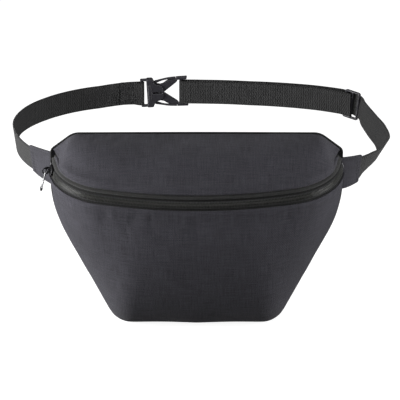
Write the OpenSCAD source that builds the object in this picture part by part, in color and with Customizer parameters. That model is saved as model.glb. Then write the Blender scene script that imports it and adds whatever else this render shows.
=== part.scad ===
// Waist pack: a fabric pouch with a curved zip, two wings, a webbing belt,
// a side-release buckle and a sliding adjuster. Millimetres.
// X runs across the wearer, +Y points at the wearer, +Z is up.
// The origin is the centre of the back panel's rear face.

/* [Pouch] */
// Height of the back panel
bag_h = 192; // [185:1:200]
// Width across the shoulders
bag_w = 289; // [285:1:293]
// Width of the straight top edge
top_w = 244; // [236:1:250]
// Width of the bottom edge before its corners are rounded
base_w = 165; // [155:1:175]
// Height lost by the slanted shoulders
shoulder_drop = 17; // [14:1:20]
// Depth below the top edge where the sides start to taper
taper_drop = 76; // [72:1:80]
// Radius of the bottom corners
base_r = 24; // [18:1:28]
// Thickness of the padded back panel
back_t = 5; // [4:0.5:6]
// Thickness of the sewn fabric walls
wall_t = 2; // [1.6:0.1:2.4]
// Rise of the top panel's crown
crown = 9; // [6:1:12]

/* [Zip] */
// Depth of the zip's two ends below the top edge
zip_drop = 33; // [31:1:35]
// Fall of the zip for each millimetre that it comes forward
zip_slope = 0.217; // [0.2:0.005:0.23]
// Radius of the zip's two corners
zip_r = 64; // [60:1:68]
// Angle that each zip corner turns
zip_turn = 75; // [72:1:78]
// Lean of the zip band from upright
zip_lean = 14; // [12:1:16]
// Band showing above the coil
band_up = 12.5; // [11:0.5:14]
// Band showing below the coil
band_down = 6.5; // [5.5:0.5:8]
// Width of the closed coil
coil_w = 6; // [5:0.2:6.4]
// Thickness of the coil
coil_t = 2.4; // [2:0.1:2.6]
// Thickness of the zip tape
tape_t = 0.8; // [0.6:0.1:1]
// Distance from the zip's end to the closed slider
slider_in = 11; // [10:0.5:12]

/* [Puller] */
// Height of the slider's bridge bar over its top plate
bridge_h = 4.1; // [4:0.1:4.5]
// Radius of the link ring's centre line
link_r = 3.2; // [3:0.1:3.4]
// Length of the pull tab
tab_l = 20; // [17:1:20]
// Width of the pull tab
tab_w = 5; // [4:0.5:5]

/* [Belt] */
// Width of the webbing
web_w = 25; // [24:1:26]
// Thickness of the webbing
web_t = 1.6; // [1.4:0.1:1.8]
// Height of a wing where it joins the pouch
wing_h = 34; // [30:1:36]
// Length of a wing
wing_l = 33; // [28:1:40]
// Length of the stitched fold beside the buckle
fold_l = 24; // [19:5:29]

/* [Hidden] */

$fn = 32;
half_w = bag_w / 2;
top_z = bag_h / 2;
belt_z = top_z - 37;         // height of the belt's centre line
end_gap = 0.3;               // clearance between pieces that meet
u_start = 0.03;              // the walls stop this share short of the zip ends
charcoal = [0.23, 0.23, 0.26];
black = [0.1, 0.1, 0.11];
steel = [0.55, 0.55, 0.57];

// ---- Plane geometry ----
function unit(v) = v / norm(v);
function lerp(a, b, f) = a + (b - a) * f;
function along_heading(h) = [cos(h), sin(h)];
function right_of(h) = [sin(h), -cos(h)];

// Where an arc of radius r that turns by turn degrees (left is positive) ends
function arc_shift(h, r, turn) = let (g = sign(turn) * r)
    [g * (sin(h + turn) - sin(h)), g * (cos(h) - cos(h + turn))];

// A stretch is [radius, turn] for an arc or [length, 0] for a straight run
function part_of(stretch, f) = f == 0 ? [0, 0]
    : stretch[1] == 0 ? [stretch[0] * f, 0] : [stretch[0], stretch[1] * f];
function stretch_end(p, h, stretch) = stretch[1] == 0
    ? p + stretch[0] * along_heading(h)
    : p + arc_shift(h, stretch[0], stretch[1]);
function stretch_steps(stretch) = stretch[1] == 0
    ? max(1, floor(stretch[0] / 20)) : ceil(abs(stretch[1]) / 4);

// Stations [x, y, heading] along a list of stretches
function walk(p, h, run, i = 0) = i == len(run) ? [[p[0], p[1], h]] :
    let (n = stretch_steps(run[i]))
    concat([for (k = [0:n - 1]) let (s = part_of(run[i], k / n), q = stretch_end(p, h, s))
        [q[0], q[1], h + s[1]]],
        walk(stretch_end(p, h, run[i]), h + run[i][1], run, i + 1));
function walk_end(p, h, run) = let (w = walk(p, h, run)) w[len(w) - 1];

// Points of a corner at b, rounded to radius r
function corner(a, b, c, r, steps = 8) = let (
    u = unit(a - b),
    v = unit(c - b),
    half = acos(u * v) / 2,
    start = b + u * r / tan(half),
    finish = b + v * r / tan(half),
    centre = b + unit(u + v) * r / sin(half),
    a0 = atan2(start[1] - centre[1], start[0] - centre[0]),
    a1 = atan2(finish[1] - centre[1], finish[0] - centre[0]),
    swing = (a1 - a0 + 540) % 360 - 180)
    [for (k = [0:steps]) centre + r * along_heading(a0 + swing * k / steps)];

// Point a share f of the way along a polyline
function lengths(path) = [for (i = 0, s = 0; i < len(path);
    s = s + (i + 1 < len(path) ? norm(path[i + 1] - path[i]) : 0), i = i + 1) s];
function span_at(sums, s, i = 0) = i >= len(sums) - 2 || sums[i + 1] >= s ? i : span_at(sums, s, i + 1);
function point_at(path, sums, f) = let (
    s = f * sums[len(sums) - 1],
    i = span_at(sums, s),
    gap = sums[i + 1] - sums[i])
    lerp(path[i], path[i + 1], gap > 0 ? (s - sums[i]) / gap : 0);

// ---- Pouch outline, seen from the front ----
end_z = top_z - zip_drop;
shoulder_in = [half_w, top_z - shoulder_drop];
taper_at = [half_w, top_z - taper_drop];
base_at = [base_w / 2, -top_z];
function flip(p) = [-p[0], p[1]];
function backwards(path) = [for (i = [len(path) - 1:-1:0]) path[i]];

function lower_outline(z0) = let (
    side = corner([half_w, z0], taper_at, base_at, 110),
    foot = corner(taper_at, base_at, flip(base_at), base_r),
    right = concat([[half_w, z0]], side, foot))
    concat([for (p = right) flip(p)], backwards(right));
function upper_outline(z0) = let (
    shoulder = corner([half_w, z0], shoulder_in, [top_w / 2, top_z], 6),
    crest = corner(shoulder_in, [top_w / 2, top_z], [0, top_z], 18),
    right = concat([[half_w, z0]], shoulder, crest))
    concat([for (p = right) flip(p)], backwards(right));

low_path = lower_outline(end_z - band_down);
low_sums = lengths(low_path);
high_path = upper_outline(end_z + band_up);
high_sums = lengths(high_path);

// ---- Zip line: corner arc, long front arc, corner arc, in a plane that falls to the front ----
zip_half = half_w - 0.5;
front_turn = 180 - 2 * zip_turn;
front_r = (zip_half - zip_r * (1 - cos(zip_turn))) / sin(front_turn / 2);
side_l = zip_r * zip_turn * PI / 180;
front_l = front_r * front_turn * PI / 180;
zip_l = 2 * side_l + front_l;

// Station [x, y, heading] at a distance s along the zip
function on_arc(p, h, r, s) = let (a = s / r * 180 / PI, q = p + arc_shift(h, r, a)) [q[0], q[1], h + a];
zip_start = [-zip_half, -back_t];
bend_1 = on_arc(zip_start, -90, zip_r, side_l);
bend_2 = on_arc([bend_1[0], bend_1[1]], bend_1[2], front_r, front_l);
function zip_station(s) = s <= 0 ? [-zip_half, -back_t + s * -1, -90]
    : s <= side_l ? on_arc(zip_start, -90, zip_r, s)
    : s <= side_l + front_l ? on_arc([bend_1[0], bend_1[1]], bend_1[2], front_r, s - side_l)
    : on_arc([bend_2[0], bend_2[1]], bend_2[2], zip_r, s - side_l - front_l);
function zip_z(y) = end_z + zip_slope * (y + back_t);

// Point at the zip's distance s, up the band by rise and out from it by out
function band_point(s, rise, out) = let (
    q = zip_station(s),
    n = right_of(q[2]),
    side = out * cos(zip_lean) - rise * sin(zip_lean),
    up = out * sin(zip_lean) + rise * cos(zip_lean))
    [q[0] + n[0] * side, q[1] + n[1] * side, zip_z(q[1]) + up];

// ---- Curved walls ----
// Bezier from the zip's lower edge down and back to the bottom seam
function front_surface(u, v) = let (
    s = u * zip_l,
    a = band_point(s, -band_down, 0),
    seam = point_at(low_path, low_sums, u),
    d = [seam[0], -back_t, seam[1]],
    n = right_of(zip_station(s)[2]),
    reach = norm(d - a),
    b = a + reach * [n[0] * 0.01, n[1] * 0.08, -0.36],
    c = d + reach * [-sign(d[0]) * 0.03 * min(1, abs(d[0]) / 60), -0.4, -0.03],
    w = 1 - v)
    w * w * w * a + 3 * w * w * v * b + 3 * w * v * v * c + v * v * v * d;

// Crowned panel from the back's top edge to the zip's upper edge
function top_surface(u, v) = let (
    seam = point_at(high_path, high_sums, u),
    a = [seam[0], -back_t, seam[1]],
    c = band_point(u * zip_l, band_up, 0),
    reach = norm(c - a),
    lift = crown * min(1, reach / 60) * sin(180 * v))
    lerp(a, c, v) + [0, -0.35 * lift, 0.94 * lift];

step = 0.002;
function tilt(kind, u, v) = let (
    du = kind == "top" ? top_surface(u + step, v) - top_surface(u - step, v)
        : front_surface(u + step, v) - front_surface(u - step, v),
    v0 = max(0, v - step),
    v1 = min(1, v + step),
    dv = kind == "top" ? top_surface(u, v1) - top_surface(u, v0)
        : front_surface(u, v1) - front_surface(u, v0))
    unit(cross(du, dv));

// A closed shell between two grids of points, the first one outermost
module shell(outer, inner) {
    rows = len(outer);
    cols = len(outer[0]);
    all_points = concat([for (r = outer) each r], [for (r = inner) each r]);
    half = rows * cols;
    function quad(a, b, c, d) = [[a, b, c], [a, c, d]];
    skin = [for (i = [0:rows - 2]) for (j = [0:cols - 2]) let (p = i * cols + j)
        each concat(quad(p, p + 1, p + cols + 1, p + cols),
            quad(half + p, half + p + cols, half + p + cols + 1, half + p + 1))];
    sides = [for (i = [0:rows - 2]) let (p = i * cols, q = p + cols - 1)
        each concat(quad(p, p + cols, half + p + cols, half + p),
            quad(q + cols, q, half + q, half + q + cols))];
    ends = [for (j = [0:cols - 2]) let (q = (rows - 1) * cols + j)
        each concat(quad(j + 1, j, half + j, half + j + 1),
            quad(q, q + 1, half + q + 1, half + q))];
    polyhedron(all_points, concat(skin, sides, ends), convexity = 6);
}

module back_panel() {
    color(black)
        rotate([90, 0, 0])
            linear_extrude(back_t)
                polygon(concat(low_path, backwards(high_path)));
}

// Bias tape that binds the raw edges inside, round the front face of the back panel
module seam_binding() {
    inset = 6;
    tape_w = 7;
    tape_h = 1.4;
    outline = concat(low_path, backwards(high_path));
    n = len(outline);
    function shrunk(by) = [for (p = outline) p * (half_w - by) / half_w];
    color(black)
        translate([0, -back_t, 0])
            rotate([90, 0, 0])
                linear_extrude(tape_h)
                    polygon(concat(shrunk(inset + wall_t), shrunk(inset + wall_t + tape_w)),
                        [[for (i = [0:n - 1]) i], [for (i = [0:n - 1]) n + i]]);
}

module front_panel() {
    cols = 44;
    rows = 13;
    us = [for (i = [0:cols]) lerp(u_start, 1 - u_start, i / cols)];
    vs = [for (j = [0:rows]) j / rows];
    outer = [for (u = us) [for (v = vs) front_surface(u, v)]];
    inner = [for (u = us) [for (v = vs) let (
        n = tilt("front", u, v),
        m = v == 1 ? unit([n[0], 0, n[2]]) : v == 0 ? unit([n[0], n[1], 0]) : n)
        front_surface(u, v) + wall_t * m]];
    color(charcoal) shell(inner, outer);
}

module top_panel() {
    cols = 44;
    rows = 7;
    us = [for (i = [0:cols]) lerp(u_start, 1 - u_start, i / cols)];
    vs = [for (j = [0:rows]) j / rows];
    outer = [for (u = us) [for (v = vs) top_surface(u, v)]];
    inner = [for (u = us) [for (v = vs) let (
        n = tilt("top", u, v),
        m = v == 0 ? unit([n[0], 0, n[2]]) : n)
        top_surface(u, v) + wall_t * m]];
    color(charcoal) shell(inner, outer);
}

// A strip of the zip band between two heights and two distances along the zip
module band_strip(s0, s1, low, high, thick, cols = 44) {
    stations = [for (i = [0:cols]) lerp(s0, s1, i / cols)];
    outer = [for (s = stations) [band_point(s, high, thick / 2), band_point(s, low, thick / 2)]];
    inner = [for (s = stations) [band_point(s, high, -thick / 2), band_point(s, low, -thick / 2)]];
    shell(outer, inner);
}

stop_l = 2;
slider_l = 13;
slider_w = 9;
coil_from = slider_in + slider_l / 2 + 1;
coil_to = zip_l - stop_l - 2 * end_gap;

module zip_tape_upper() {
    color(black) band_strip(1, zip_l - 1, coil_w / 2 + end_gap, band_up - end_gap, tape_t);
}
module zip_tape_lower() {
    color(black) band_strip(1, zip_l - 1, end_gap - band_down, -coil_w / 2 - end_gap, tape_t);
}
module zip_coil_upper() {
    color(black) band_strip(coil_from, coil_to, 0.05, coil_w / 2, coil_t);
}
module zip_coil_lower() {
    color(black) band_strip(coil_from, coil_to, -coil_w / 2, -0.05, coil_t);
}

// ---- Slider and puller, in the slider's own axes: x along the zip, y up the band, z outwards ----
seat = zip_station(slider_in);
travel = unit([cos(seat[2]), sin(seat[2]), zip_slope * sin(seat[2])]);
lean_up = let (n = right_of(seat[2])) [-n[0] * sin(zip_lean), -n[1] * sin(zip_lean), cos(zip_lean)];
outward = unit(cross(travel, lean_up));
upward = cross(outward, travel);
seat_at = [seat[0], seat[1], zip_z(seat[1])];
plate_in = 1.6;              // half the gap between the slider's plates
plate_t = 1;
plate_out = plate_in + plate_t;
bar_r = 0.8;
bar_z = plate_out + bridge_h;
wire_r = 0.65;
link_drop = link_r - bar_r - wire_r - 0.05;
tab_hole_r = 1.3;
tab_pivot = link_drop + link_r;

module on_slider() {
    multmatrix([
        [travel[0], upward[0], outward[0], seat_at[0]],
        [travel[1], upward[1], outward[1], seat_at[1]],
        [travel[2], upward[2], outward[2], seat_at[2]],
        [0, 0, 0, 1]]) children();
}

module rounded_plate(l, w, r) {
    square([l - 2 * r, w], center = true);
    square([l, w - 2 * r], center = true);
    for (x = [-1, 1])
        for (y = [-1, 1])
            translate([x * (l / 2 - r), y * (w / 2 - r)]) circle(r);
}

module slider_body() {
    lip_t = 0.5;
    color(steel) on_slider() {
        for (side = [-1, 1])
            translate([0, 0, side > 0 ? plate_in : -plate_out])
                linear_extrude(plate_t) rounded_plate(slider_l, slider_w, 2.4);
        translate([-slider_l / 2 + 2.6, 0, -plate_in - 0.2])
            cylinder(h = 2 * plate_in + 0.4, r = 1.5);
        for (side = [-1, 1])
            for (lip = [-1, 1])
                translate([-3, side * (slider_w / 2 - lip_t / 2) - lip_t / 2, lip > 0 ? 1 : -plate_in - 0.1])
                    cube([7, lip_t, plate_in - 0.9]);
    }
}

module slider_bridge() {
    post = 1.6;
    reach = 4.4;
    color(steel) on_slider() {
        for (side = [-1, 1])
            translate([side * reach - post / 2, -1.1, plate_out])
                cube([post, 2.2, bridge_h]);
        translate([-reach - post / 2, 0, bar_z])
            rotate([0, 90, 0]) cylinder(h = 2 * reach + post, r = bar_r);
    }
}

module puller_link() {
    color(steel) on_slider()
        translate([0, -link_drop, bar_z])
            rotate([0, 90, 0])
                rotate_extrude() translate([link_r, 0]) circle(wire_r, $fn = 20);
}

module puller_tab() {
    tab_t = 1.4;
    hole_y = -0.35;
    top_y = hole_y + tab_hole_r + 1.2;
    hang = atan2(-travel[2], upward[2]);
    color(steel) on_slider()
        translate([0, -tab_pivot, bar_z - tab_t / 2])
            rotate([0, 0, hang])
                linear_extrude(tab_t)
                    difference() {
                        translate([0, top_y - tab_l / 2]) rounded_plate(tab_w, tab_l, 1.6);
                        translate([0, hole_y]) circle(tab_hole_r);
                    }
}

module zip_stop(s) {
    q = band_point(s, 0, 0);
    h = zip_station(s)[2];
    color(steel)
        translate(q) rotate([0, 0, h])
            cube([stop_l, coil_t + 1, coil_w], center = true);
}
module zip_stop_left() { zip_stop(stop_l / 2 + 0.5); }
module zip_stop_right() { zip_stop(zip_l - stop_l / 2 - 0.5); }

// ---- Belt line, seen from above ----
wing_off = 1.2;              // gap between a wing's root and the pouch's side
right_from = [half_w + wing_off + 1, -4.5];
arc_r = 330;                 // radius of the back stretch, which the adjuster slides along
arc_turn = 34;               // degrees of that stretch, up to the plug
bend_from = 101;             // heading where the belt starts to bend at the adjuster
bend_to = 180 - arc_turn;
wing_right_l = 20;           // the right wing shows a shorter length than the left one
right_run = [[45, 18], [114, 44], [120, bend_from - 90], [58.742, 0],
    [15.987, bend_to - bend_from], [arc_r, arc_turn]];
right_line = walk(right_from, 28, right_run);
glide_start = walk_end(right_from, 28, [for (i = [0:4]) right_run[i]]);
right_end = right_line[len(right_line) - 1];
arc_centre = [right_end[0], right_end[1] - arc_r];
ring_y = right_end[1];

// The left side meets the same line through two tangent arcs
left_from = [-half_w - wing_off, -2.2];
left_lead = [[4.5, 0], [160, -40]];
left_mid = walk_end(left_from, 130, left_lead);
buckle_l = 50;
bar_t = 3.2;                 // thickness of each webbing bar of the buckle
bend_r = bar_t / 2 + web_t / 2 + 0.2;
plug_bar_x = right_end[0] - bar_t / 2;
left_bar_x = plug_bar_x - buckle_l + 9;
side_turn = 50;
dx = left_bar_x - left_mid[0];
dy = ring_y - left_mid[1];
small_r = (dy - dx * (1 - sin(side_turn)) / cos(side_turn))
    / (sin(side_turn) - (1 - cos(side_turn)) * (1 - sin(side_turn)) / cos(side_turn));
large_r = (dx - small_r * (1 - cos(side_turn))) / cos(side_turn);
left_run = concat(left_lead, [[small_r, -side_turn], [large_r, side_turn - 90]]);
left_line = walk(left_from, 130, left_run);
buckle_y = ring_y - bend_r;  // mid-plane of the buckle and of the adjuster

// An upright ribbon of webbing through a list of points, centred on belt_z
function heading_at(path, i) = let (
    a = path[max(0, i - 1)],
    b = path[min(len(path) - 1, i + 1)])
    atan2(b[1] - a[1], b[0] - a[0]);
function offset_path(path, by) = [for (i = [0:len(path) - 1])
    let (n = right_of(heading_at(path, i))) [path[i][0] + n[0] * by, path[i][1] + n[1] * by]];
module ribbon(path) {
    translate([0, 0, belt_z - web_w / 2])
        linear_extrude(web_w)
            polygon(concat(offset_path(path, web_t / 2), backwards(offset_path(path, -web_t / 2))));
}

// The stations of a line that lie past the wing's end
function past_wing(line, from, by) = [for (q = line) if (norm([q[0] - from[0], q[1] - from[1]]) > by) q];
function shifted(q, by) = let (n = right_of(q[2])) [q[0] + n[0] * by, q[1] + n[1] * by];

left_wing_run = [left_lead[0], [160, -(wing_l - left_lead[0][0]) / 160 * 180 / PI]];
right_first_l = 45 * 18 * PI / 180;
right_wing_run = [right_run[0], [114, (wing_right_l - right_first_l) / 114 * 180 / PI]];

module wing(line) {
    n = len(line) - 1;
    thick = 2.6;
    half_h = [for (i = [0:n]) lerp(wing_h, web_w + 3, pow(i / n, 1.4)) / 2];
    function at(i, by, z) = let (p = shifted(line[i], by)) [p[0], p[1], belt_z + z];
    outer = [for (i = [0:n]) [at(i, thick / 2, half_h[i]), at(i, thick / 2, -half_h[i])]];
    inner = [for (i = [0:n]) [at(i, -thick / 2, half_h[i]), at(i, -thick / 2, -half_h[i])]];
    color(charcoal) shell(outer, inner);
}
module wing_left() { mirror([1, 0, 0]) wing(mirrored(walk(left_from, 130, left_wing_run))); }
module wing_right() { wing(walk(right_from, 28, right_wing_run)); }
function mirrored(line) = [for (q = line) [-q[0], q[1], 180 - q[2]]];

module webbing_left() {
    main = [for (q = past_wing(left_line, left_from, wing_l)) [q[0], q[1]]];
    first = walk_end(left_from, 130, left_wing_run);
    turn = [for (a = [22.5:22.5:180])
        [left_bar_x + bend_r * sin(a), buckle_y + bend_r * cos(a)]];
    tail_r = large_r - web_t - end_gap;
    tail = [for (d = [9:5:fold_l]) let (a = d / large_r * 180 / PI)
        [left_bar_x - tail_r * sin(a), ring_y - large_r + tail_r * cos(a)]];
    past_bar = [left_bar_x - 2.4, buckle_y - bend_r];
    color(black) ribbon(concat([[first[0], first[1]]], main, turn, [past_bar], tail));
}

// ---- Buckle ----
socket_h = 31;
body_t = 8;
nose_h = 13;

module in_buckle_plane(thick) {
    translate([0, buckle_y + thick / 2, belt_z])
        rotate([90, 0, 0]) linear_extrude(thick) children();
}

// A round bar that the webbing turns on
module round_bar(x, length) {
    translate([x, buckle_y, belt_z - length / 2]) cylinder(d = bar_t, h = length);
}

module buckle_socket() {
    x0 = left_bar_x - 1.6;
    slot_to = x0 + 7.6;
    shoulder = slot_to + 6;
    nose_to = slot_to + 18;
    color(black) {
        // bar and side rails
        round_bar(left_bar_x, socket_h - 1);
        in_buckle_plane(bar_t)
            for (side = [-1, 1])
                translate([x0, side > 0 ? socket_h / 2 - 2.6 : -socket_h / 2]) square([slot_to - x0 + 1, 2.6]);
        // hollow body with a narrower nose
        difference() {
            in_buckle_plane(body_t)
                polygon([[slot_to, -socket_h / 2], [shoulder, -socket_h / 2],
                    [shoulder + 2, -nose_h / 2 - 1], [nose_to, -nose_h / 2],
                    [nose_to, nose_h / 2], [shoulder + 2, nose_h / 2 + 1],
                    [shoulder, socket_h / 2], [slot_to, socket_h / 2]]);
            // channel for the plug's guide
            in_buckle_plane(4) translate([slot_to + 2.5, -4.2]) square([20, 8.4]);
            // side pockets that hold the arm tips
            for (side = [-1, 1])
                in_buckle_plane(4.6)
                    translate([slot_to + 2, side > 0 ? nose_h / 2 - 1 : -nose_h / 2 - 7.6]) square([12, 8.6]);
        }
    }
}

// Guide, two diagonal rails and the webbing bar of the plug
module buckle_plug() {
    x1 = plug_bar_x + 1.6;
    neck = x1 - 18.3;
    rail_in = web_w / 2 + 0.3;   // inner edge of a rail beside the webbing
    color(black) {
        round_bar(plug_bar_x, 29);
        in_buckle_plane(5) {
            for (side = [-1, 1])
                polygon([[x1, side * 15.6], [x1 - 5.8, side * 15.6], [x1 - 5.8, side * 13.2],
                    [x1 - 14, side * 12.2], [neck, side * 7.4], [neck, 0], [neck + 1.2, 0],
                    [x1 - 5.3, side * 10.6], [x1 - 5.2, side * rail_in], [x1, side * rail_in]]);
        }
        in_buckle_plane(3.4) translate([neck - 12, -3.6]) square([14, 7.2]);
    }
}

arm_root = [plug_bar_x - 4.6, 14.8];           // pivot of an arm, in the buckle's plane
arm_span = 24;
arm_w = 2.2;

// A springy arm that bows outwards and ends in a catch
module arm_shape() {
    bow = 1.2;
    arm_drop = 4.2;
    n = 12;
    mid = [for (i = [0:n]) let (f = i / n)
        [arm_root[0] - f * arm_span, arm_root[1] + bow * sin(180 * f) - arm_drop * f]];
    polygon(concat([for (p = mid) p + [0, arm_w / 2]], backwards([for (p = mid) p - [0, arm_w / 2]])));
    translate([arm_root[0] - arm_span - 0.6, arm_root[1] - arm_drop]) circle(arm_w / 2 + 0.5);
}
module plug_arm_upper() {
    color(black) in_buckle_plane(3.4) arm_shape();
}
module plug_arm_lower() {
    color(black) in_buckle_plane(3.4) mirror([0, 1]) arm_shape();
}

// The long webbing runs from the right wing past the adjuster and round the plug's bar,
// then back to the adjuster on the inside
glide_turn = 1.6;
glide_line = walk([glide_start[0], glide_start[1]], glide_start[2], [[arc_r, glide_turn]]);
glide_at = let (q = glide_line[len(glide_line) - 1], p = shifted(q, -bend_r)) [p[0], p[1], q[2]];
module webbing_right() {
    first = walk_end(right_from, 28, right_wing_run);
    outer = [for (q = past_wing(right_line, right_from, wing_right_l)) [q[0], q[1]]];
    turn = [for (a = [22.5:22.5:180])
        [plug_bar_x - bend_r * sin(a), buckle_y + bend_r * cos(a)]];
    inner_r = arc_r - 2 * bend_r;
    inner = [for (k = [1:12]) let (a = lerp(180, glide_at[2], k / 12))
        [arc_centre[0] + inner_r * sin(a), arc_centre[1] - inner_r * cos(a)]];
    color(black) ribbon(concat([[first[0], first[1]]], outer, turn, inner));
}

// Slide adjuster: a flat frame with a middle bar
module tri_glide() {
    frame_l = 18;
    frame_h = 31;
    frame_t = 2.4;
    slot_l = 5.6;
    slot_h = 26;
    color(black)
        translate([glide_at[0], glide_at[1], belt_z])
            rotate([0, 0, glide_at[2]])
                rotate([90, 0, 0])
                    translate([0, 0, -frame_t / 2])
                        linear_extrude(frame_t)
                            difference() {
                                rounded_plate(frame_l, frame_h, 2);
                                for (side = [-1, 1])
                                    translate([side * (slot_l / 2 + 1.2) - slot_l / 2, -slot_h / 2])
                                        square([slot_l, slot_h]);
                            }
}

back_panel();
top_panel();
front_panel();
seam_binding();
zip_tape_upper();
zip_tape_lower();
zip_coil_upper();
zip_coil_lower();
zip_stop_left();
zip_stop_right();
slider_body();
slider_bridge();
puller_link();
puller_tab();
wing_left();
wing_right();
webbing_left();
webbing_right();
tri_glide();
buckle_socket();
buckle_plug();
plug_arm_upper();
plug_arm_lower();
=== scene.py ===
import math
import random

import bpy
import numpy as np
from mathutils import Matrix, Vector


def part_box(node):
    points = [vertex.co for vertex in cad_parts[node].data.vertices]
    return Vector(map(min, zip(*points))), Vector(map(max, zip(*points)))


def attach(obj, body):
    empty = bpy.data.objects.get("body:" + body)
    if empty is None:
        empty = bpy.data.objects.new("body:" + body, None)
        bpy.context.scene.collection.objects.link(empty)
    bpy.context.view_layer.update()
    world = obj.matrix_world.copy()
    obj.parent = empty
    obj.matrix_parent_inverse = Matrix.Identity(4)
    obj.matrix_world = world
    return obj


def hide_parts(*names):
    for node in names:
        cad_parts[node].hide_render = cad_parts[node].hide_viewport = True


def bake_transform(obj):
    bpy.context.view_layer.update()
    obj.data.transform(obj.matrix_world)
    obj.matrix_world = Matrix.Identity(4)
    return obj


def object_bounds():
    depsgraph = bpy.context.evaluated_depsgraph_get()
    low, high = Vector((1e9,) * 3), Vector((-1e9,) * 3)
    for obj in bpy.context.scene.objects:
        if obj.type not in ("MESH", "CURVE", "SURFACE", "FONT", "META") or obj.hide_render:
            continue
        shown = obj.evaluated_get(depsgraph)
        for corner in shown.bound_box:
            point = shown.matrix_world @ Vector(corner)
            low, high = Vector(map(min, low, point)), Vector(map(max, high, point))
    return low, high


# The looks of the waist pack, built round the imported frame. Lengths are in millimetres in the
# row frame until mesh_object turns them into metres.
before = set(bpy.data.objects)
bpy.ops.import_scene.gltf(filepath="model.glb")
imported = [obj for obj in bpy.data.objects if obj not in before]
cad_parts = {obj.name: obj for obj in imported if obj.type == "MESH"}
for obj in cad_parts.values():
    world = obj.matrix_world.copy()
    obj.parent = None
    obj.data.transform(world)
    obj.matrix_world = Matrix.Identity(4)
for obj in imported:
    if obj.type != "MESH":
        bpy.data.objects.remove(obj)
cad_low, cad_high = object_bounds()
random.seed(11)
scene = bpy.context.scene
MM = 0.001


def box_mm(node):
    low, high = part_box(node)
    return np.array(low) / MM, np.array(high) / MM


# ---- Sizes shared with the CAD ----
back_low, back_high = box_mm("back_panel")
HALF_W = back_high[0]
TOP_Z = back_high[2]
BACK_T = back_high[1] - back_low[1]
SHOULDER_DROP = 17
TAPER_DROP = 76
TOP_W = 244
BASE_W = 165
BASE_R = 24
WALL_T = 2
CROWN = 9
ZIP_DROP = 33
ZIP_SLOPE = 0.217
ZIP_R = 64
ZIP_TURN = math.radians(75)
ZIP_LEAN = math.radians(14)
BAND_UP = 12.5
BAND_DOWN = 6.5
WEB_T = 1.6
WEB_W = 25
WING_L = 33
WING_RIGHT_L = 20
SIDE_TUCK = 5.0

END_Z = TOP_Z - ZIP_DROP
ZIP_HALF = HALF_W - 0.5
FRONT_TURN = math.pi - 2 * ZIP_TURN
FRONT_R = (ZIP_HALF - ZIP_R * (1 - math.cos(ZIP_TURN))) / math.sin(FRONT_TURN / 2)
SIDE_L = ZIP_R * ZIP_TURN
FRONT_L = FRONT_R * FRONT_TURN
ZIP_L = 2 * SIDE_L + FRONT_L

socket_low, socket_high = box_mm("buckle_socket")
_, plug_high = box_mm("buckle_plug")
BELT_Z = (socket_low[2] + socket_high[2]) / 2
BUCKLE_Y = (socket_low[1] + socket_high[1]) / 2
BUCKLE_BAR = 3.2
LEFT_BAR_X = socket_low[0] + BUCKLE_BAR / 2
PLUG_BAR_X = plug_high[0] - BUCKLE_BAR / 2
BEND_R = BUCKLE_BAR / 2 + WEB_T / 2 + 0.2
RING_Y = BUCKLE_Y + BEND_R


# ---- Camera ----
def make_camera():
    """At the angle of view of the original, 20 degrees above the front."""
    pitch = math.radians(20)
    distance = 4.0
    aim = Vector((0.0033, 0, 0.0236))
    data = bpy.data.cameras.new("camera")
    data.sensor_width = 36
    data.lens = 360
    data.clip_end = 50
    camera = bpy.data.objects.new("camera", data)
    camera.location = aim + distance * Vector((0, -math.cos(pitch), math.sin(pitch)))
    camera.rotation_euler = (math.pi / 2 - pitch, 0, 0)
    scene.collection.objects.link(camera)
    scene.camera = camera


# ---- Plane geometry ----
def unit(v):
    return v / max(np.linalg.norm(v), 1e-9)


def right_of(h):
    return np.array([math.sin(h), -math.cos(h)])


def arc_shift(h, r, turn):
    g = math.copysign(r, turn)
    return g * np.array([math.sin(h + turn) - math.sin(h), math.cos(h) - math.cos(h + turn)])


def walk(point, h, run, pitch=2.0):
    """Stations x, y, heading along (length, 0) and (radius, degrees) stretches."""
    stations = []
    p = np.array(point, float)
    for size, degrees in run:
        turn = math.radians(degrees)
        length = size * abs(turn) if turn else size
        count = max(1, math.ceil(length / pitch))
        straight = size * np.array([math.cos(h), math.sin(h)])
        for k in range(count):
            f = k / count
            q = p + (arc_shift(h, size, turn * f) if turn else straight * f)
            stations.append((q[0], q[1], h + turn * f))
        p = p + (arc_shift(h, size, turn) if turn else straight)
        h += turn
    stations.append((p[0], p[1], h))
    return stations


def corner(a, b, c, r, steps=16):
    """Points of the corner at b, rounded to radius r."""
    a, b, c = (np.array(p, float) for p in (a, b, c))
    u, v = unit(a - b), unit(c - b)
    half = math.acos(float(u @ v)) / 2
    start, finish = b + u * r / math.tan(half), b + v * r / math.tan(half)
    centre = b + unit(u + v) * r / math.sin(half)
    a0 = math.atan2(start[1] - centre[1], start[0] - centre[0])
    a1 = math.atan2(finish[1] - centre[1], finish[0] - centre[0])
    swing = (a1 - a0 + 3 * math.pi) % (2 * math.pi) - math.pi
    return [centre + r * np.array([math.cos(a0 + swing * k / steps), math.sin(a0 + swing * k / steps)])
            for k in range(steps + 1)]


def oblong(x0, x1, y0, y1):
    return [(x0, y0), (x1, y0), (x1, y1), (x0, y1)]


def rounded(points, r, steps=4):
    """A closed outline with every corner rounded."""
    count = len(points)
    return [q for i in range(count)
            for q in corner(points[i - 1], points[i], points[(i + 1) % count], r, steps)]


def distances_of(points, start=0.0):
    """The distance of each point along a line."""
    steps = [math.dist(a, b) for a, b in zip(points, points[1:])]
    return start + np.concatenate([[0], np.cumsum(steps)])


def along_table(table, distances):
    """Values at distances, from (distance, value) pairs."""
    return np.interp(distances, [d for d, _ in table], [v for _, v in table])


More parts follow.
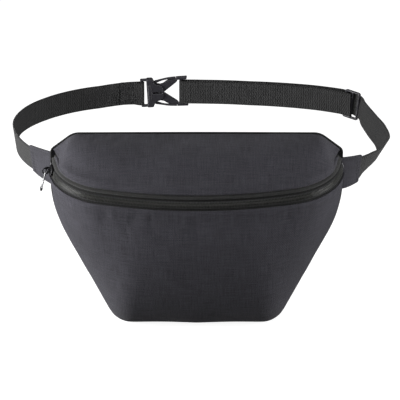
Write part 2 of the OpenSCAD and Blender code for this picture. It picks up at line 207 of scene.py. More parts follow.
class Outline:
    """A polyline that gives the point at a share of its length."""

    def __init__(self, points):
        self.points = np.array(points, float)
        self.sums = distances_of(self.points)

    def at(self, share):
        s = share * self.sums[-1]
        return np.array([np.interp(s, self.sums, self.points[:, k]) for k in (0, 1)])


def flip(p):
    return [-p[0], p[1]]


def both_sides(right):
    return [flip(p) for p in right] + right[::-1]


def lower_outline(z0):
    taper_at, base_at = [HALF_W, TOP_Z - TAPER_DROP], [BASE_W / 2, -TOP_Z]
    side = corner([HALF_W, z0], taper_at, base_at, 110)
    foot = corner(taper_at, base_at, flip(base_at), BASE_R)
    return both_sides([[HALF_W, z0], *side, *foot])


def upper_outline(z0):
    shoulder_at, top_at = [HALF_W, TOP_Z - SHOULDER_DROP], [TOP_W / 2, TOP_Z]
    shoulder = corner([HALF_W, z0], shoulder_at, top_at, 6)
    crest = corner(shoulder_at, top_at, [0, TOP_Z], 18)
    return both_sides([[HALF_W, z0], *shoulder, *crest])


LOW = Outline(lower_outline(END_Z - BAND_DOWN))
HIGH = Outline(upper_outline(END_Z + BAND_UP))


# ---- Zip line and the two curved panels ----
def on_arc(point, h, r, s):
    shift = arc_shift(h, r, s / r)
    return point[0] + shift[0], point[1] + shift[1], h + s / r


ZIP_START = (-ZIP_HALF, -BACK_T)
BEND_1 = on_arc(ZIP_START, -math.pi / 2, ZIP_R, SIDE_L)
BEND_2 = on_arc(BEND_1, BEND_1[2], FRONT_R, FRONT_L)


def zip_station(s):
    if s <= 0:
        return -ZIP_HALF, -BACK_T - s, -math.pi / 2
    if s <= SIDE_L:
        return on_arc(ZIP_START, -math.pi / 2, ZIP_R, s)
    if s <= SIDE_L + FRONT_L:
        return on_arc(BEND_1, BEND_1[2], FRONT_R, s - SIDE_L)
    return on_arc(BEND_2, BEND_2[2], ZIP_R, s - SIDE_L - FRONT_L)


def band_point(s, rise, out):
    """Up the zip band by rise and out from it by out, at distance s along the zip."""
    x, y, h = zip_station(s)
    n = right_of(h)
    near_end = float(np.interp(min(s, ZIP_L - s), [0, 7, 14, 36], [0.15, 0.85, 1, 0]))
    out -= SIDE_TUCK * near_end * max(0.0, (rise - 4) / 8.5) ** 1.4
    side = out * math.cos(ZIP_LEAN) - rise * math.sin(ZIP_LEAN)
    up = out * math.sin(ZIP_LEAN) + rise * math.cos(ZIP_LEAN)
    return np.array([x + n[0] * side, y + n[1] * side, END_Z + ZIP_SLOPE * (y + BACK_T) + up])


def front_surface(u, v):
    a = band_point(u * ZIP_L, -BAND_DOWN, 0)
    seam = LOW.at(u)
    d = np.array([seam[0], -BACK_T, seam[1]])
    n = right_of(zip_station(u * ZIP_L)[2])
    reach = np.linalg.norm(d - a)
    b = a + reach * np.array([n[0] * 0.01, n[1] * 0.08, -0.36])
    lean = -math.copysign(0.03, d[0]) * min(1, abs(d[0]) / 60)
    c = d + reach * np.array([lean, -0.4, -0.08])
    w = 1 - v
    return w ** 3 * a + 3 * w * w * v * b + 3 * w * v * v * c + v ** 3 * d


def top_surface(u, v):
    seam = HIGH.at(u)
    a = np.array([seam[0], -BACK_T, seam[1]])
    c = band_point(u * ZIP_L, BAND_UP, 0)
    lift = CROWN * min(1, np.linalg.norm(c - a) / 60) * math.sin(math.pi * v)
    return a + (c - a) * v + np.array([0, -0.35 * lift, 0.94 * lift])


# ---- Meshes ----
def mesh_object(name, points, faces, uvs=None):
    """A smooth mesh from millimetre points. uvs holds one pair, in millimetres, for each point."""
    data = bpy.data.meshes.new(name)
    data.from_pydata((np.asarray(points) * MM).tolist(), [], faces)
    if uvs is not None:
        layer = data.uv_layers.new(name="weave")
        corners = np.empty(len(data.loops), int)
        data.loops.foreach_get("vertex_index", corners)
        layer.data.foreach_set("uv", np.asarray(uvs, float)[corners].ravel())
    data.shade_smooth()
    data.set_sharp_from_angle(angle=math.radians(50))
    obj = bpy.data.objects.new(name, data)
    scene.collection.objects.link(obj)
    return obj


def grid_faces(columns, rows):
    return [(i * rows + j, (i + 1) * rows + j, (i + 1) * rows + j + 1, i * rows + j + 1)
            for i in range(columns - 1) for j in range(rows - 1)]


def loft(name, sections, uvs=None, closed=False):
    """A skin over closed sections that all have the same number of points."""
    sections = np.asarray(sections, float)
    count, around = sections.shape[:2]
    last = count if closed else count - 1
    faces = [(i * around + j, i * around + (j + 1) % around,
              (i + 1) % count * around + (j + 1) % around, (i + 1) % count * around + j)
             for i in range(last) for j in range(around)]
    if not closed:
        for start, forward in ((0, False), ((count - 1) * around, True)):
            ring = [start + j for j in range(around)]
            faces += cap_faces(ring if forward else ring[::-1])
    flat_uvs = None if uvs is None else np.asarray(uvs, float).reshape(-1, 2)
    return mesh_object(name, sections.reshape(-1, 3), faces, flat_uvs)


def bar_faces(count, sides, base=0):
    """Faces of a bar of count rings, closed at both ends, from point base on."""
    faces = []
    for i in range(count - 1):
        for j in range(sides):
            a, b = base + i * sides + j, base + i * sides + (j + 1) % sides
            faces.append((a, b, b + sides, a + sides))
    faces.append(tuple(base + j for j in range(sides - 1, -1, -1)))
    faces.append(tuple(base + (count - 1) * sides + j for j in range(sides)))
    return faces


def cap_faces(ring):
    """Closes a long thin ring by joining opposite points."""
    faces, i, j = [], 0, len(ring) - 1
    while j - i > 2:
        faces.append((ring[i], ring[i + 1], ring[j - 1], ring[j]))
        i, j = i + 1, j - 1
    if j - i == 2:
        faces.append((ring[i], ring[i + 1], ring[j]))
    return faces


def refine(grid, times):
    """Cubic interpolation that puts times cells in place of each one, both ways."""
    for axis in (0, 1):
        g = np.moveaxis(grid, axis, 0)
        wide = np.concatenate([2 * g[:1] - g[1:2], g, 2 * g[-1:] - g[-2:-1]])
        p0, p1, p2, p3 = wide[:-3], wide[1:-2], wide[2:-1], wide[3:]
        parts = []
        for k in range(times):
            t = k / times
            parts.append(0.5 * (2 * p1 + (p2 - p0) * t + (2 * p0 - 5 * p1 + 4 * p2 - p3) * t * t
                                + (3 * p1 - p0 - 3 * p2 + p3) * t ** 3))
        fine = np.stack(parts, axis=1).reshape(-1, *g.shape[1:])
        grid = np.moveaxis(np.concatenate([fine, g[-1:]]), 0, axis)
    return grid


def normals_of(grid):
    """Outward normals of a panel's grid."""
    n = -np.cross(np.gradient(grid, axis=0), np.gradient(grid, axis=1))
    return n / np.maximum(np.linalg.norm(n, axis=2, keepdims=True), 1e-9)


def along(grid, axis):
    """Arc length along one axis of a grid."""
    steps = np.linalg.norm(np.diff(grid, axis=axis), axis=2)
    return np.insert(np.cumsum(steps, axis=axis), 0, 0, axis=axis)


def settle(points, faces, held, pressure, slack, cap):
    """A short cloth run: the held points stay and the rest fill out, by cap at most."""
    obj = mesh_object("settling", points, faces)
    obj.vertex_groups.new(name="held").add([int(i) for i in np.flatnonzero(held)], 1.0, "REPLACE")
    modifier = obj.modifiers.new("settle", "CLOTH")
    modifier.settings.vertex_group_mass = "held"
    modifier.settings.use_pressure = True
    modifier.settings.uniform_pressure_force = pressure
    modifier.settings.shrink_min = -slack
    modifier.settings.effector_weights.gravity = 0
    modifier.collision_settings.use_collision = False
    for number in range(1, 21):
        scene.frame_set(number)
    shown = obj.evaluated_get(bpy.context.evaluated_depsgraph_get())
    settled = np.array([v.co for v in shown.data.vertices]) / MM
    bpy.data.objects.remove(obj)
    scene.frame_set(1)
    move = settled - points
    size = np.linalg.norm(move, axis=1, keepdims=True)
    return points + move * np.minimum(1, cap / np.maximum(size, 1e-9))


def ripple(length, waves, seed):
    """A sum of sines along a length, with fixed random phases."""
    source = random.Random(seed)
    total = np.zeros_like(length)
    for wave in waves:
        total += np.sin(2 * math.pi * length / (wave * source.uniform(0.85, 1.15)) + source.uniform(0, 6.28))
    return total / len(waves)


# ---- Materials ----
class Graph:
    """A material with a Principled shader and short names for adding and linking nodes."""

    def __init__(self, name, **sockets):
        self.material = bpy.data.materials.new(name)
        self.material.use_nodes = True
        self.nodes = self.material.node_tree.nodes
        self.shader = self.nodes["Principled BSDF"]
        for socket, value in sockets.items():
            self.shader.inputs[socket.replace("_", " ")].default_value = value

    def add(self, kind, inputs=None, **settings):
        node = self.nodes.new(kind)
        for key, value in settings.items():
            setattr(node, key, value)
        for key, value in (inputs or {}).items():
            if isinstance(value, bpy.types.NodeSocket):
                self.material.node_tree.links.new(value, node.inputs[key])
            else:
                node.inputs[key].default_value = value
        return node

    def math(self, operation, a, b=0.0, c=0.0):
        return self.add("ShaderNodeMath", {0: a, 1: b, 2: c}, operation=operation).outputs[0]

    def blend(self, *terms):
        """The sum of (value, share) pairs."""
        total = self.math("MULTIPLY", *terms[0])
        for value, share in terms[1:]:
            total = self.math("MULTIPLY_ADD", value, share, total)
        return total

    def worn_edges(self, low, high):
        worn = self.add("ShaderNodeNewGeometry").outputs["Pointiness"]
        return self.add("ShaderNodeMapRange", {"Value": worn, "From Min": low, "From Max": high}).outputs[0]

    def mix(self, share, a, b):
        node = self.add("ShaderNodeMix", {"Factor": share}, data_type="RGBA")
        for socket, value in (("A", a), ("B", b)):
            for slot in node.inputs:
                if slot.name == socket and slot.type == "RGBA":
                    if isinstance(value, bpy.types.NodeSocket):
                        self.material.node_tree.links.new(value, slot)
                    else:
                        slot.default_value = (*value, 1)
        return next(s for s in node.outputs if s.type == "RGBA")

    def noise(self, vector, scale, detail=2.0):
        return self.add("ShaderNodeTexNoise", {"Vector": vector, "Scale": scale, "Detail": detail}).outputs[0]

    def scaled(self, vector, x, y, z=1.0, turn=0.0):
        node = self.add("ShaderNodeMapping", {"Vector": vector, "Scale": (x, y, z), "Rotation": (0, 0, turn)})
        return node.outputs[0]

    def uv(self):
        return self.add("ShaderNodeUVMap", uv_map="weave").outputs[0]

    def place(self):
        return self.add("ShaderNodeTexCoord").outputs["Object"]

    def drive(self, socket, value):
        self.material.node_tree.links.new(value, self.shader.inputs[socket])

    def bump(self, height, distance, strength=1.0, under=None):
        inputs = {"Height": height, "Distance": distance, "Strength": strength}
        if under is not None:
            inputs["Normal"] = under
        normal = self.add("ShaderNodeBump", inputs).outputs[0]
        self.drive("Normal", normal)
        return normal


def woven(name, dark, light, pitch, bump, streak=0.8, turn=0.0, sheen=0.25, roughness=0.85):
    """Plain weave on the weave UVs, with slubs and a faint change of lustre across the cloth."""
    g = Graph(name, Roughness=roughness, Sheen_Weight=sheen, Sheen_Roughness=0.5,
              Specular_IOR_Level=0.25)
    uv = g.uv()
    weave = g.scaled(uv, math.pi / pitch[0], math.pi / pitch[1], turn=turn)
    threads = g.add("ShaderNodeSeparateXYZ", {0: weave})
    warp, weft = (g.math("SINE", threads.outputs[k]) for k in (0, 1))
    knots = g.math("MULTIPLY", warp, weft)
    slub_warp = g.noise(g.scaled(uv, 0.9, 0.05), 1.0, 3.0)
    slub_weft = g.noise(g.scaled(uv, 0.05, 0.9), 1.0, 3.0)
    cloud = g.noise(g.scaled(uv, 0.02, 0.02), 1.0, 4.0)
    fuzz = g.noise(uv, 0.9, 4.0)
    slubs = g.math("SUBTRACT", g.math("ADD", slub_warp, slub_weft), 1.0)
    cloud, fuzz = (g.math("SUBTRACT", value, 0.5) for value in (cloud, fuzz))
    tone = g.math("ADD", g.blend((slubs, streak), (knots, 0.16), (cloud, 0.35), (fuzz, 1.1)), 0.5)
    g.drive("Base Color", g.mix(tone, dark, light))
    g.bump(g.blend((knots, 1.0), (slubs, 1.2)), bump)
    return g.material


def ribbed(name, dark, light, rib, bump):
    """Webbing: cross ribs over lengthwise cords, in a shallow herringbone."""
    g = Graph(name, Roughness=0.8, Sheen_Weight=0.15, Specular_IOR_Level=0.3)
    uv = g.uv()
    parts = g.add("ShaderNodeSeparateXYZ", {0: uv})
    zigzag = g.math("PINGPONG", parts.outputs[1], 2.1)
    slanted = g.math("ADD", parts.outputs[0], g.math("MULTIPLY", zigzag, 0.6))
    ribs = g.math("SINE", g.math("MULTIPLY", slanted, 2 * math.pi / rib))
    cords = g.math("SINE", g.math("MULTIPLY", parts.outputs[1], 2 * math.pi / 1.05))
    height = g.blend((ribs, 1.0), (cords, 0.5))
    lustre = g.noise(g.scaled(uv, 0.22, 0.06), 1.0, 2.0)
    fuzz = g.noise(uv, 1.1, 4.0)
    edge = g.add("ShaderNodeMapRange", {"Value": g.math("ABSOLUTE", parts.outputs[1]), "From Min": 10.9,
                                        "From Max": 11.7}).outputs[0]
    tone = g.blend((height, 0.2), (lustre, 0.6), (fuzz, 0.5), (edge, -0.4))
    g.drive("Base Color", g.mix(tone, dark, light))
    g.bump(height, bump)
    return g.material


def moulded(name, dark, light, roughness, grain=0.00002):
    """Moulded plastic: fine spark texture, paler where handling has rubbed the edges."""
    g = Graph(name, Roughness=roughness, Specular_IOR_Level=0.5)
    place = g.place()
    tone = g.blend((g.worn_edges(0.52, 0.62), 0.6), (g.noise(place, 300.0, 3.0), 0.35))
    g.drive("Base Color", g.mix(tone, dark, light))
    g.drive("Roughness", g.math("MULTIPLY_ADD", g.noise(place, 900.0, 2.0), 0.25, roughness - 0.12))
    g.bump(g.noise(place, 2600.0, 2.0), grain)
    return g.material


def metal(name, dark, light, roughness):
    """Plated metal with small scratches and bright worn edges."""
    g = Graph(name, Metallic=0.85, Roughness=roughness)
    place = g.place()
    tone = g.blend((g.worn_edges(0.5, 0.6), 0.7), (g.noise(place, 700.0, 3.0), 0.3))
    g.drive("Base Color", g.mix(tone, dark, light))
    scratches = g.noise(g.scaled(place, 1, 1, 6), 1500.0, 2.0)
    g.drive("Roughness", g.math("MULTIPLY_ADD", scratches, 0.3, roughness - 0.1))
    g.bump(g.noise(g.scaled(place, 1, 1, 0.1), 3500.0, 2.0), 0.000008)
    return g.material


POUCH_CLOTH = woven("pouch_cloth", (0.016, 0.0155, 0.019), (0.078, 0.0755, 0.092), (0.85, 0.85), 0.00016,
                    sheen=0.08)
# The wings' cloth below is the pouch cloth made a little darker: painted shade on the wings.
WING_PAINTED_SHADE_CLOTH = woven("wing_cloth_painted_shade", (0.015, 0.0145, 0.018), (0.068, 0.066, 0.080), (0.85, 0.85), 0.00016,
                   turn=0.1, sheen=0.1)
AIR_MESH = woven("air_mesh", (0.012, 0.012, 0.014), (0.040, 0.040, 0.046), (2.4, 1.9), 0.0005, streak=0.15)
TAPE_CLOTH = woven("tape_cloth", (0.005, 0.005, 0.0048), (0.016, 0.016, 0.0155), (0.6, 1.1), 0.0001,
                   sheen=0.05)
# The cover fold's cloth below is the tape cloth made about three times paler: a painted highlight for the
# light that the fold's edge catches.
FOLD_PAINTED_HIGHLIGHT_CLOTH = woven("fold_cloth_painted_highlight", (0.012, 0.012, 0.0118), (0.046, 0.046, 0.0448), (0.6, 1.1), 0.0001,
                   sheen=0.15)
WEBBING = ribbed("belt_webbing", (0.007, 0.007, 0.0072), (0.047, 0.047, 0.0475), 2.6, 0.0003)
COIL_NYLON = moulded("coil_nylon", (0.025, 0.0255, 0.0235), (0.11, 0.111, 0.102), 0.38)
ACETAL = moulded("buckle_acetal", (0.022, 0.021, 0.026), (0.07, 0.069, 0.08), 0.42)
THREAD = moulded("sewing_thread", (0.018, 0.018, 0.020), (0.055, 0.055, 0.060), 0.75)
DARK_METAL = metal("dark_plating", (0.012, 0.012, 0.013), (0.10, 0.10, 0.105), 0.38)
BRIGHT_METAL = metal("bright_plating", (0.20, 0.20, 0.205), (0.55, 0.55, 0.56), 0.36)
DIPPED = moulded("dipped_tip", (0.008, 0.008, 0.009), (0.03, 0.03, 0.032), 0.5)


def dress(obj, material):
    obj.data.materials.clear()
    obj.data.materials.append(material)
    return obj


def piece(obj, body, material, slot, *nodes):
    """Dresses a piece, puts it on its body and hides the CAD nodes that it stands for."""
    dress(obj, material)
    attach(obj, body)
    if nodes:
        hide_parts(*nodes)
    return obj


def lifting_piece(obj, material, slot, *nodes):
    """Dresses a piece that reaches from the pouch to the lifting flap, bakes its placing into its mesh and
    hides the CAD nodes that it stands for.
    """
    dress(obj, material)
    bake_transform(obj)
    if nodes:
        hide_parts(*nodes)
    return obj


# ---- Pouch panels ----
U_END = 0.014


def panel_grid(surface, columns, rows):
    us = np.linspace(U_END, 1 - U_END, columns + 1)
    vs = np.linspace(0, 1, rows + 1)
    return np.array([[surface(u, v) for v in vs] for u in us])


def settled_grid(surface, columns, rows, pressure, slack, cap):
    grid = panel_grid(surface, columns, rows)
    held = np.zeros(grid.shape[:2], bool)
    held[:, [0, -1]] = True
    held[:5] = True
    held[-5:] = True
    flat = settle(grid.reshape(-1, 3), [f[::-1] for f in grid_faces(columns + 1, rows + 1)],
                  held.ravel(), pressure, slack, cap)
    return flat.reshape(grid.shape)


def shell_sections(grid, thick):
    """Closed sections of a panel: outer face, round edge, inner face, round edge."""
    n = normals_of(grid)
    inner = grid - thick[None, :, None] * n
    sections = []
    for outer_row, inner_row in zip(grid, inner):
        first = unit(outer_row[0] - outer_row[1]) * thick[0] / 2
        last = unit(outer_row[-1] - outer_row[-2]) * thick[-1] / 2
        sections.append([*outer_row, *edge_round(outer_row[-1], inner_row[-1], last),
                         *inner_row[::-1], *edge_round(inner_row[0], outer_row[0], first)])
    return sections


def edge_round(a, b, reach):
    middle = (a + b) / 2
    angles = (0.8, math.pi / 2, math.pi - 0.8)
    return [middle + (a - middle) * math.cos(t) + reach * math.sin(t) for t in angles]


def panel_uvs(grid, around):
    """Weave coordinates: length along each row from its middle, and down each column."""
    across = along(grid, 0)
    across -= across[len(grid) // 2]
    down = along(grid, 1)
    rows = grid.shape[1]
    order = [*range(rows), rows - 1, rows - 1, rows - 1, *range(rows - 1, -1, -1), 0, 0, 0]
    assert len(order) == around
    return np.stack([across[:, order], -down[:, order]], axis=2)


def panel(name, grid, lip_count, lip_first):
    """A thick panel whose rolled lip is a thin skin."""
    thick = np.full(grid.shape[1], float(WALL_T))
    taper = np.concatenate([np.full(lip_count, 0.25), np.linspace(0.4, WALL_T, 8)])
    if lip_first:
        thick[:len(taper)] = taper
    else:
        thick[-len(taper):] = taper[::-1]
    sections = np.array(shell_sections(grid, thick))
    return loft(name, sections, panel_uvs(grid, sections.shape[1]))


def lip_rows(grid, profile):
    """Rows of the rolled lip along the zip, from (rise, out) pairs."""
    shares = np.linspace(U_END, 1 - U_END, len(grid))
    return np.array([[band_point(u * ZIP_L, rise, out) for rise, out in profile] for u in shares])


TOP_LIP = [(11.9, 2.0), (11.2, 2.35), (10.5, 2.3), (10.0, 1.9), (9.8, 1.35), (10.1, 0.85), (11.2, 0.6)]
FRONT_LIP = [(-7.2, 0.5), (-6.1, 0.7), (-5.6, 1.15), (-5.6, 1.7), (-6.0, 2.05)]


def sewn(grid, zip_first, full_at, lip, tuck, pucker, pull, slump):
    """A panel's grid with its rolled lip, seam tuck, edge puckers and slump. lip and tuck give
    height against distance; pucker and pull give waves, seed, height and reach."""
    down, run = along(grid, 1), along(grid, 0)
    total = down[:, -1:]
    from_zip, from_seam = (down, total - down) if zip_first else (total - down, down)
    height = np.interp(from_zip, *lip) + np.interp(from_seam, *tuck)
    for distance, (waves, seed, size, reach) in ((from_seam, pucker), (from_zip, pull)):
        wave = ripple(run, waves, seed) * size * np.exp(-distance / reach)
        height = height + wave * np.minimum(1, distance / 2)
    slant, waves, seed, size = slump
    across = grid[..., 0] + slant * grid[..., 2]
    height = height + ripple(across, waves, seed) * size * np.minimum(1, from_zip / 20)
    return grid + normals_of(grid) * (np.minimum(1, total / full_at) * height)[..., None]


def front_grid():
    grid = refine(settled_grid(front_surface, 72, 34, 0.4, 0.001, 2), 3)
    lip = [0, 1.5, 4, 7, 12, 16], [1.9, 2.1, 1.9, 1.1, 0.3, 0]
    tuck = [0, 1.2, 3, 6, 11], [-1.5, -0.3, 0.35, 0.3, 0]
    grid = sewn(grid, True, 40, lip, tuck, pucker=([7, 11, 16], 3, 0.2, 7),
                pull=([9, 17, 23], 5, 0.16, 8), slump=(0.5, [70, 110], 8, 0.3))
    return np.concatenate([lip_rows(grid, FRONT_LIP), grid], axis=1)


def top_grid():
    grid = refine(settled_grid(top_surface, 72, 20, 0.35, 0.001, 1.5), 3)
    lip = [0, 1.5, 4, 7, 11, 15], [1.8, 2.2, 2.1, 1.2, 0.3, 0]
    tuck = [0, 1.2, 3, 6], [-1.2, -0.2, 0.2, 0]
    grid = sewn(grid, False, 30, lip, tuck, pucker=([8, 12, 19], 13, 0.18, 6),
                pull=([10, 18, 27], 15, 0.15, 9), slump=(0, [60, 95], 18, 0.25))
    return np.concatenate([grid, lip_rows(grid, TOP_LIP)], axis=1)


def make_pouch():
    skin = panel("pouch_front", front_grid(), len(FRONT_LIP), True)
    piece(skin, "bag", POUCH_CLOTH, "pouch_fabric", "front_panel")
    skin = panel("pouch_top", top_grid(), len(TOP_LIP), False)
    lifting_piece(skin, POUCH_CLOTH, "pouch_fabric", "top_panel")


# ---- Back pad and inner binding ----
def back_rim():
    """The closed outline of the back, evenly spaced, from the left end of the zip."""
    loop = Outline(list(LOW.points) + list(HIGH.points[::-1][1:-1]) + [LOW.points[0]])
    count = 360
    return np.array([loop.at(k / count) for k in range(count)])


def standing(ring, y):
    """The points of a flat x, z ring, standing at y."""
    return np.stack([ring[:, 0], np.broadcast_to(y, len(ring)), ring[:, 1]], axis=1)


def make_back():
    rim = back_rim()
    centre = np.array([0, 12.0])
    size = np.linalg.norm(rim - centre, axis=1)
    rings = []
    # distance in from the edge, and the y of the rear face there
    profile = [(3, -BACK_T), (0.9, -BACK_T), (0.2, -4.2), (0, -3.0), (0.3, -1.7), (1.2, -0.9), (3, -0.5),
               (6, -0.4), (7.6, -0.7), (8.2, -1.5), (8.8, -1.5), (9.6, -0.7), (12, 0.0), (16, 0.45),
               (24, 0.7)]
    for inset, y in profile:
        share = 1 - inset / size
        ring = centre + (rim - centre) * share[:, None]
        rings.append(standing(ring, y))
    inner_start = rings[-1]
    for share in np.linspace(0.96, 0.03, 22):
        ring = centre + (inner_start[:, [0, 2]] - centre) * share
        y = 0.7 - 0.35 * np.cos(np.clip(ring[:, 1], -60, 60) * math.pi / 30) * min(1, (1 - share) * 6)
        rings.append(standing(ring, y))
    points = np.concatenate(rings)
    around = len(rim)
    faces = bar_faces(len(rings), around)
    del faces[-2]
    inner = len(points)
    inside = [centre + (rings[0][:, [0, 2]] - centre) * share for share in (0.8, 0.6, 0.4, 0.2, 0.03)]
    points = np.concatenate([points, *[standing(ring, -BACK_T) for ring in inside]])
    starts = [0] + [inner + k * around for k in range(len(inside))]
    for a, b in zip(starts, starts[1:]):
        faces += [(a + (j + 1) % around, a + j, b + j, b + (j + 1) % around) for j in range(around)]
    faces.append(tuple(starts[-1] + j for j in range(around - 1, -1, -1)))
    faces = [f[::-1] for f in faces]
    pad = mesh_object("back_pad", points, faces, points[:, [0, 2]])
    piece(pad, "bag", AIR_MESH, "pouch_fabric", "back_panel")


def make_binding():
    rim = back_rim()
    size = np.linalg.norm(rim, axis=1)
    profile = [(8, -0.05), (8.3, -1.0), (9.5, -1.35), (13.5, -1.35), (14.7, -1.0), (15, -0.05)]
    sections = []
    for p, reach in zip(rim, size):
        insets = [(p * (1 - d / reach), y) for d, y in profile]
        sections.append([[q[0], -BACK_T + y, q[1]] for q, y in insets])
    run = np.cumsum(np.linalg.norm(rim - np.roll(rim, 1, axis=0), axis=1))
    uvs = [[(s, d) for d, _ in profile] for s in run]
    binding = loft("inner_binding", sections, uvs, closed=True)
    piece(binding, "bag", TAPE_CLOTH, "binding_tape", "seam_binding")
    ring, uvs = [], []
    for p, reach, s in zip(rim, size, run):
        out = p / reach
        turns = [2 * math.pi * k / 10 for k in range(10)]
        ring.append([[p[0] + out[0] * (0.15 + 1.1 * math.cos(t)), -BACK_T + 0.2 + 1.6 * math.sin(t),
                      p[1] + out[1] * (0.15 + 1.1 * math.cos(t))] for t in turns])
        uvs.append([(s, t) for t in turns])
    piece(loft("seam_cord", ring, uvs, closed=True), "bag", TAPE_CLOTH, "binding_tape")


# ---- Zip ----
def band_sweep(name, profile, start=0.5, finish=None, pitch=1.6):
    """A closed (rise, out) profile swept along the zip."""
    finish = ZIP_L - 0.5 if finish is None else finish
    stations = np.linspace(start, finish, int((finish - start) / pitch) + 1)
    sections = [[band_point(s, rise, out) for rise, out in profile] for s in stations]
    uvs = [[(s, d) for d in distances_of(profile)] for s in stations]
    return loft(name, sections, uvs)


def strip(low, high, out, thick, bow=0.0, steps=6):
    """Profile of a flat tape with round edges."""
    rises = np.linspace(low, high, steps + 1)
    upper = [(r, out + thick / 2 + bow * math.sin(math.pi * k / steps)) for k, r in enumerate(rises)]
    lower = [(r, out - thick / 2 + bow * math.sin(math.pi * k / steps)) for k, r in enumerate(rises)]
    return [(low - thick * 0.4, out), *upper, (high + thick * 0.4, out), *lower[::-1]]


TOOTH_PITCH = 1.45


def tooth_path(side):
    """One turn of the coil, from the tape over the top to its head past the centre line."""
    arc = [(3.3, -0.5), (3.35, 0.35), (2.7, 0.95), (1.4, 1.1), (0.2, 1.05), (-0.45, 0.65),
           (-0.5, -0.1), (0.2, -0.6)]
    return [(side * rise, out) for rise, out in arc]


def make_teeth(name, side, offset):
    points, faces = [], []
    first, last = 19.0, ZIP_L - 3.2
    count = int((last - first) / TOOTH_PITCH)
    sides, radius = 6, 0.4
    for k in range(count):
        s = first + (k + offset) * TOOTH_PITCH
        path = np.array([band_point(s, rise, out) for rise, out in tooth_path(side)])
        travel = unit(band_point(s + 0.5, 0, 0) - band_point(s - 0.5, 0, 0))
        base = len(points)
        for i, p in enumerate(path):
            ahead = unit(path[min(i + 1, len(path) - 1)] - path[max(i - 1, 0)])
            across = unit(np.cross(travel, ahead))
            thick = radius * (1.12 if i in (4, 5) else 1.0)
            slant = travel * (0.35 * (i / (len(path) - 1) - 0.5))
            for j in range(sides):
                a = 2 * math.pi * j / sides
                points.append(p + slant + thick * (math.cos(a) * travel + math.sin(a) * across))
        faces += bar_faces(len(path), sides, base)
    return mesh_object(name, points, faces)


def make_zip():
    lower = band_sweep("tape_lower", strip(-6.3, -2.4, 0, 0.8))
    piece(lower, "bag", TAPE_CLOTH, "zip_tape", "zip_tape_lower")
    upper = band_sweep("tape_upper", strip(2.4, 12.4, 0, 0.8, steps=9))
    lifting_piece(upper, TAPE_CLOTH, "zip_tape", "zip_tape_upper")
    fold = [(10.4, 0.45), (9.2, 0.55), (8.5, 0.9), (8.1, 1.6), (7.5, 2.2), (6.8, 2.35), (6.2, 2.0),
            (5.9, 1.4), (6.1, 0.8), (8, 0.5), (9.5, 0.4)]
    # The cover fold is dressed in the paler copy of the tape cloth, a painted highlight.
    lifting_piece(band_sweep("zip_cover_fold", fold), FOLD_PAINTED_HIGHLIGHT_CLOTH, "zip_tape")
    cord_low = band_sweep("coil_cord_lower", strip(-3.2, -2.5, 0.75, 0.5, steps=2), 18)
    piece(cord_low, "bag", THREAD, "zip_coil")
    cord_up = band_sweep("coil_cord_upper", strip(2.5, 3.2, 0.75, 0.5, steps=2), 18)
    lifting_piece(cord_up, THREAD, "zip_coil")
    piece(make_teeth("teeth_lower", -1, 0.5), "bag", COIL_NYLON, "zip_coil", "zip_coil_lower")
    lifting_piece(make_teeth("teeth_upper", 1, 0.0), COIL_NYLON, "zip_coil", "zip_coil_upper")


# ---- Belt ----
def heading_of(points, i):
    a, b = points[max(0, i - 1)], points[min(len(points) - 1, i + 1)]
    return math.atan2(b[1] - a[1], b[0] - a[0])


LEAN_SHIFT = 0.4
STRAP_PROFILE = [(-1, 0), (-0.985, 0.62), (-0.955, 1.05), (-0.9, 1.08), (-0.86, 0.93), (-0.5, 1), (0, 1),
                 (0.5, 1), (0.86, 0.93), (0.9, 1.08), (0.955, 1.05), (0.985, 0.62)]


def strap(name, points, half_h, half_t, lift=0.0, lean=0.0):
    """A flat strap on edge along x, y points. Its upper edge leans to the right by lean degrees
    and the strap moves a little the other way. Each size may change along it."""
    count = len(points)
    sizes = (half_h, half_t, lift, lean)
    half_h, half_t, lift, lean = (np.broadcast_to(np.asarray(v, float), count) for v in sizes)
    around = STRAP_PROFILE + [(-z, -t) for z, t in STRAP_PROFILE]
    sections, uvs, run = [], [], 0.0
    for i, p in enumerate(points):
        n = right_of(heading_of(points, i))
        up, side = math.cos(math.radians(lean[i])), math.sin(math.radians(lean[i]))
        if i:
            run += math.dist(p, points[i - 1])
        section = []
        for z, t in around:
            across = t * half_t[i] * up + (z - LEAN_SHIFT) * half_h[i] * side
            section.append([p[0] + n[0] * across, p[1] + n[1] * across,
                            BELT_Z + lift[i] + z * half_h[i] * up - t * half_t[i] * side])
        sections.append(section)
        uvs.append([(run, z * half_h[i]) for z, _ in around])
    return loft(name, sections, uvs)


def belt_lines():
    """The x, y points of the right and left belt lines, from the pouch to the buckle."""
    wing_off, arc_r, arc_turn, bend_from = 1.2, 330, 34, 101
    right_from = (HALF_W + wing_off + 1, -4.5)
    run = [(45, 18), (114, 44), (120, bend_from - 90), (58.742, 0), (15.987, 180 - arc_turn - bend_from),
           (arc_r, arc_turn)]
    right = walk(right_from, math.radians(28), run)
    left_from = (-HALF_W - wing_off, -2.2)
    lead = [(4.5, 0), (160, -40)]
    middle = walk(left_from, math.radians(130), lead)[-1]
    turn = math.radians(50)
    dx, dy = LEFT_BAR_X - middle[0], RING_Y - middle[1]
    ratio = (1 - math.sin(turn)) / math.cos(turn)
    small_r = (dy - dx * ratio) / (math.sin(turn) - (1 - math.cos(turn)) * ratio)
    large_r = (dx - small_r * (1 - math.cos(turn))) / math.cos(turn)
    left = walk(left_from, math.radians(130), lead + [(small_r, -50), (large_r, -40)])
    return right, left, arc_r, large_r


def moved_out(line, table):
    """A belt line moved to its right by the distances in a table."""
    run = distances_of([q[:2] for q in line])
    out = along_table(table, run)
    return [(x + right_of(h)[0] * d, y + right_of(h)[1] * d, h) for (x, y, h), d in zip(line, out)]


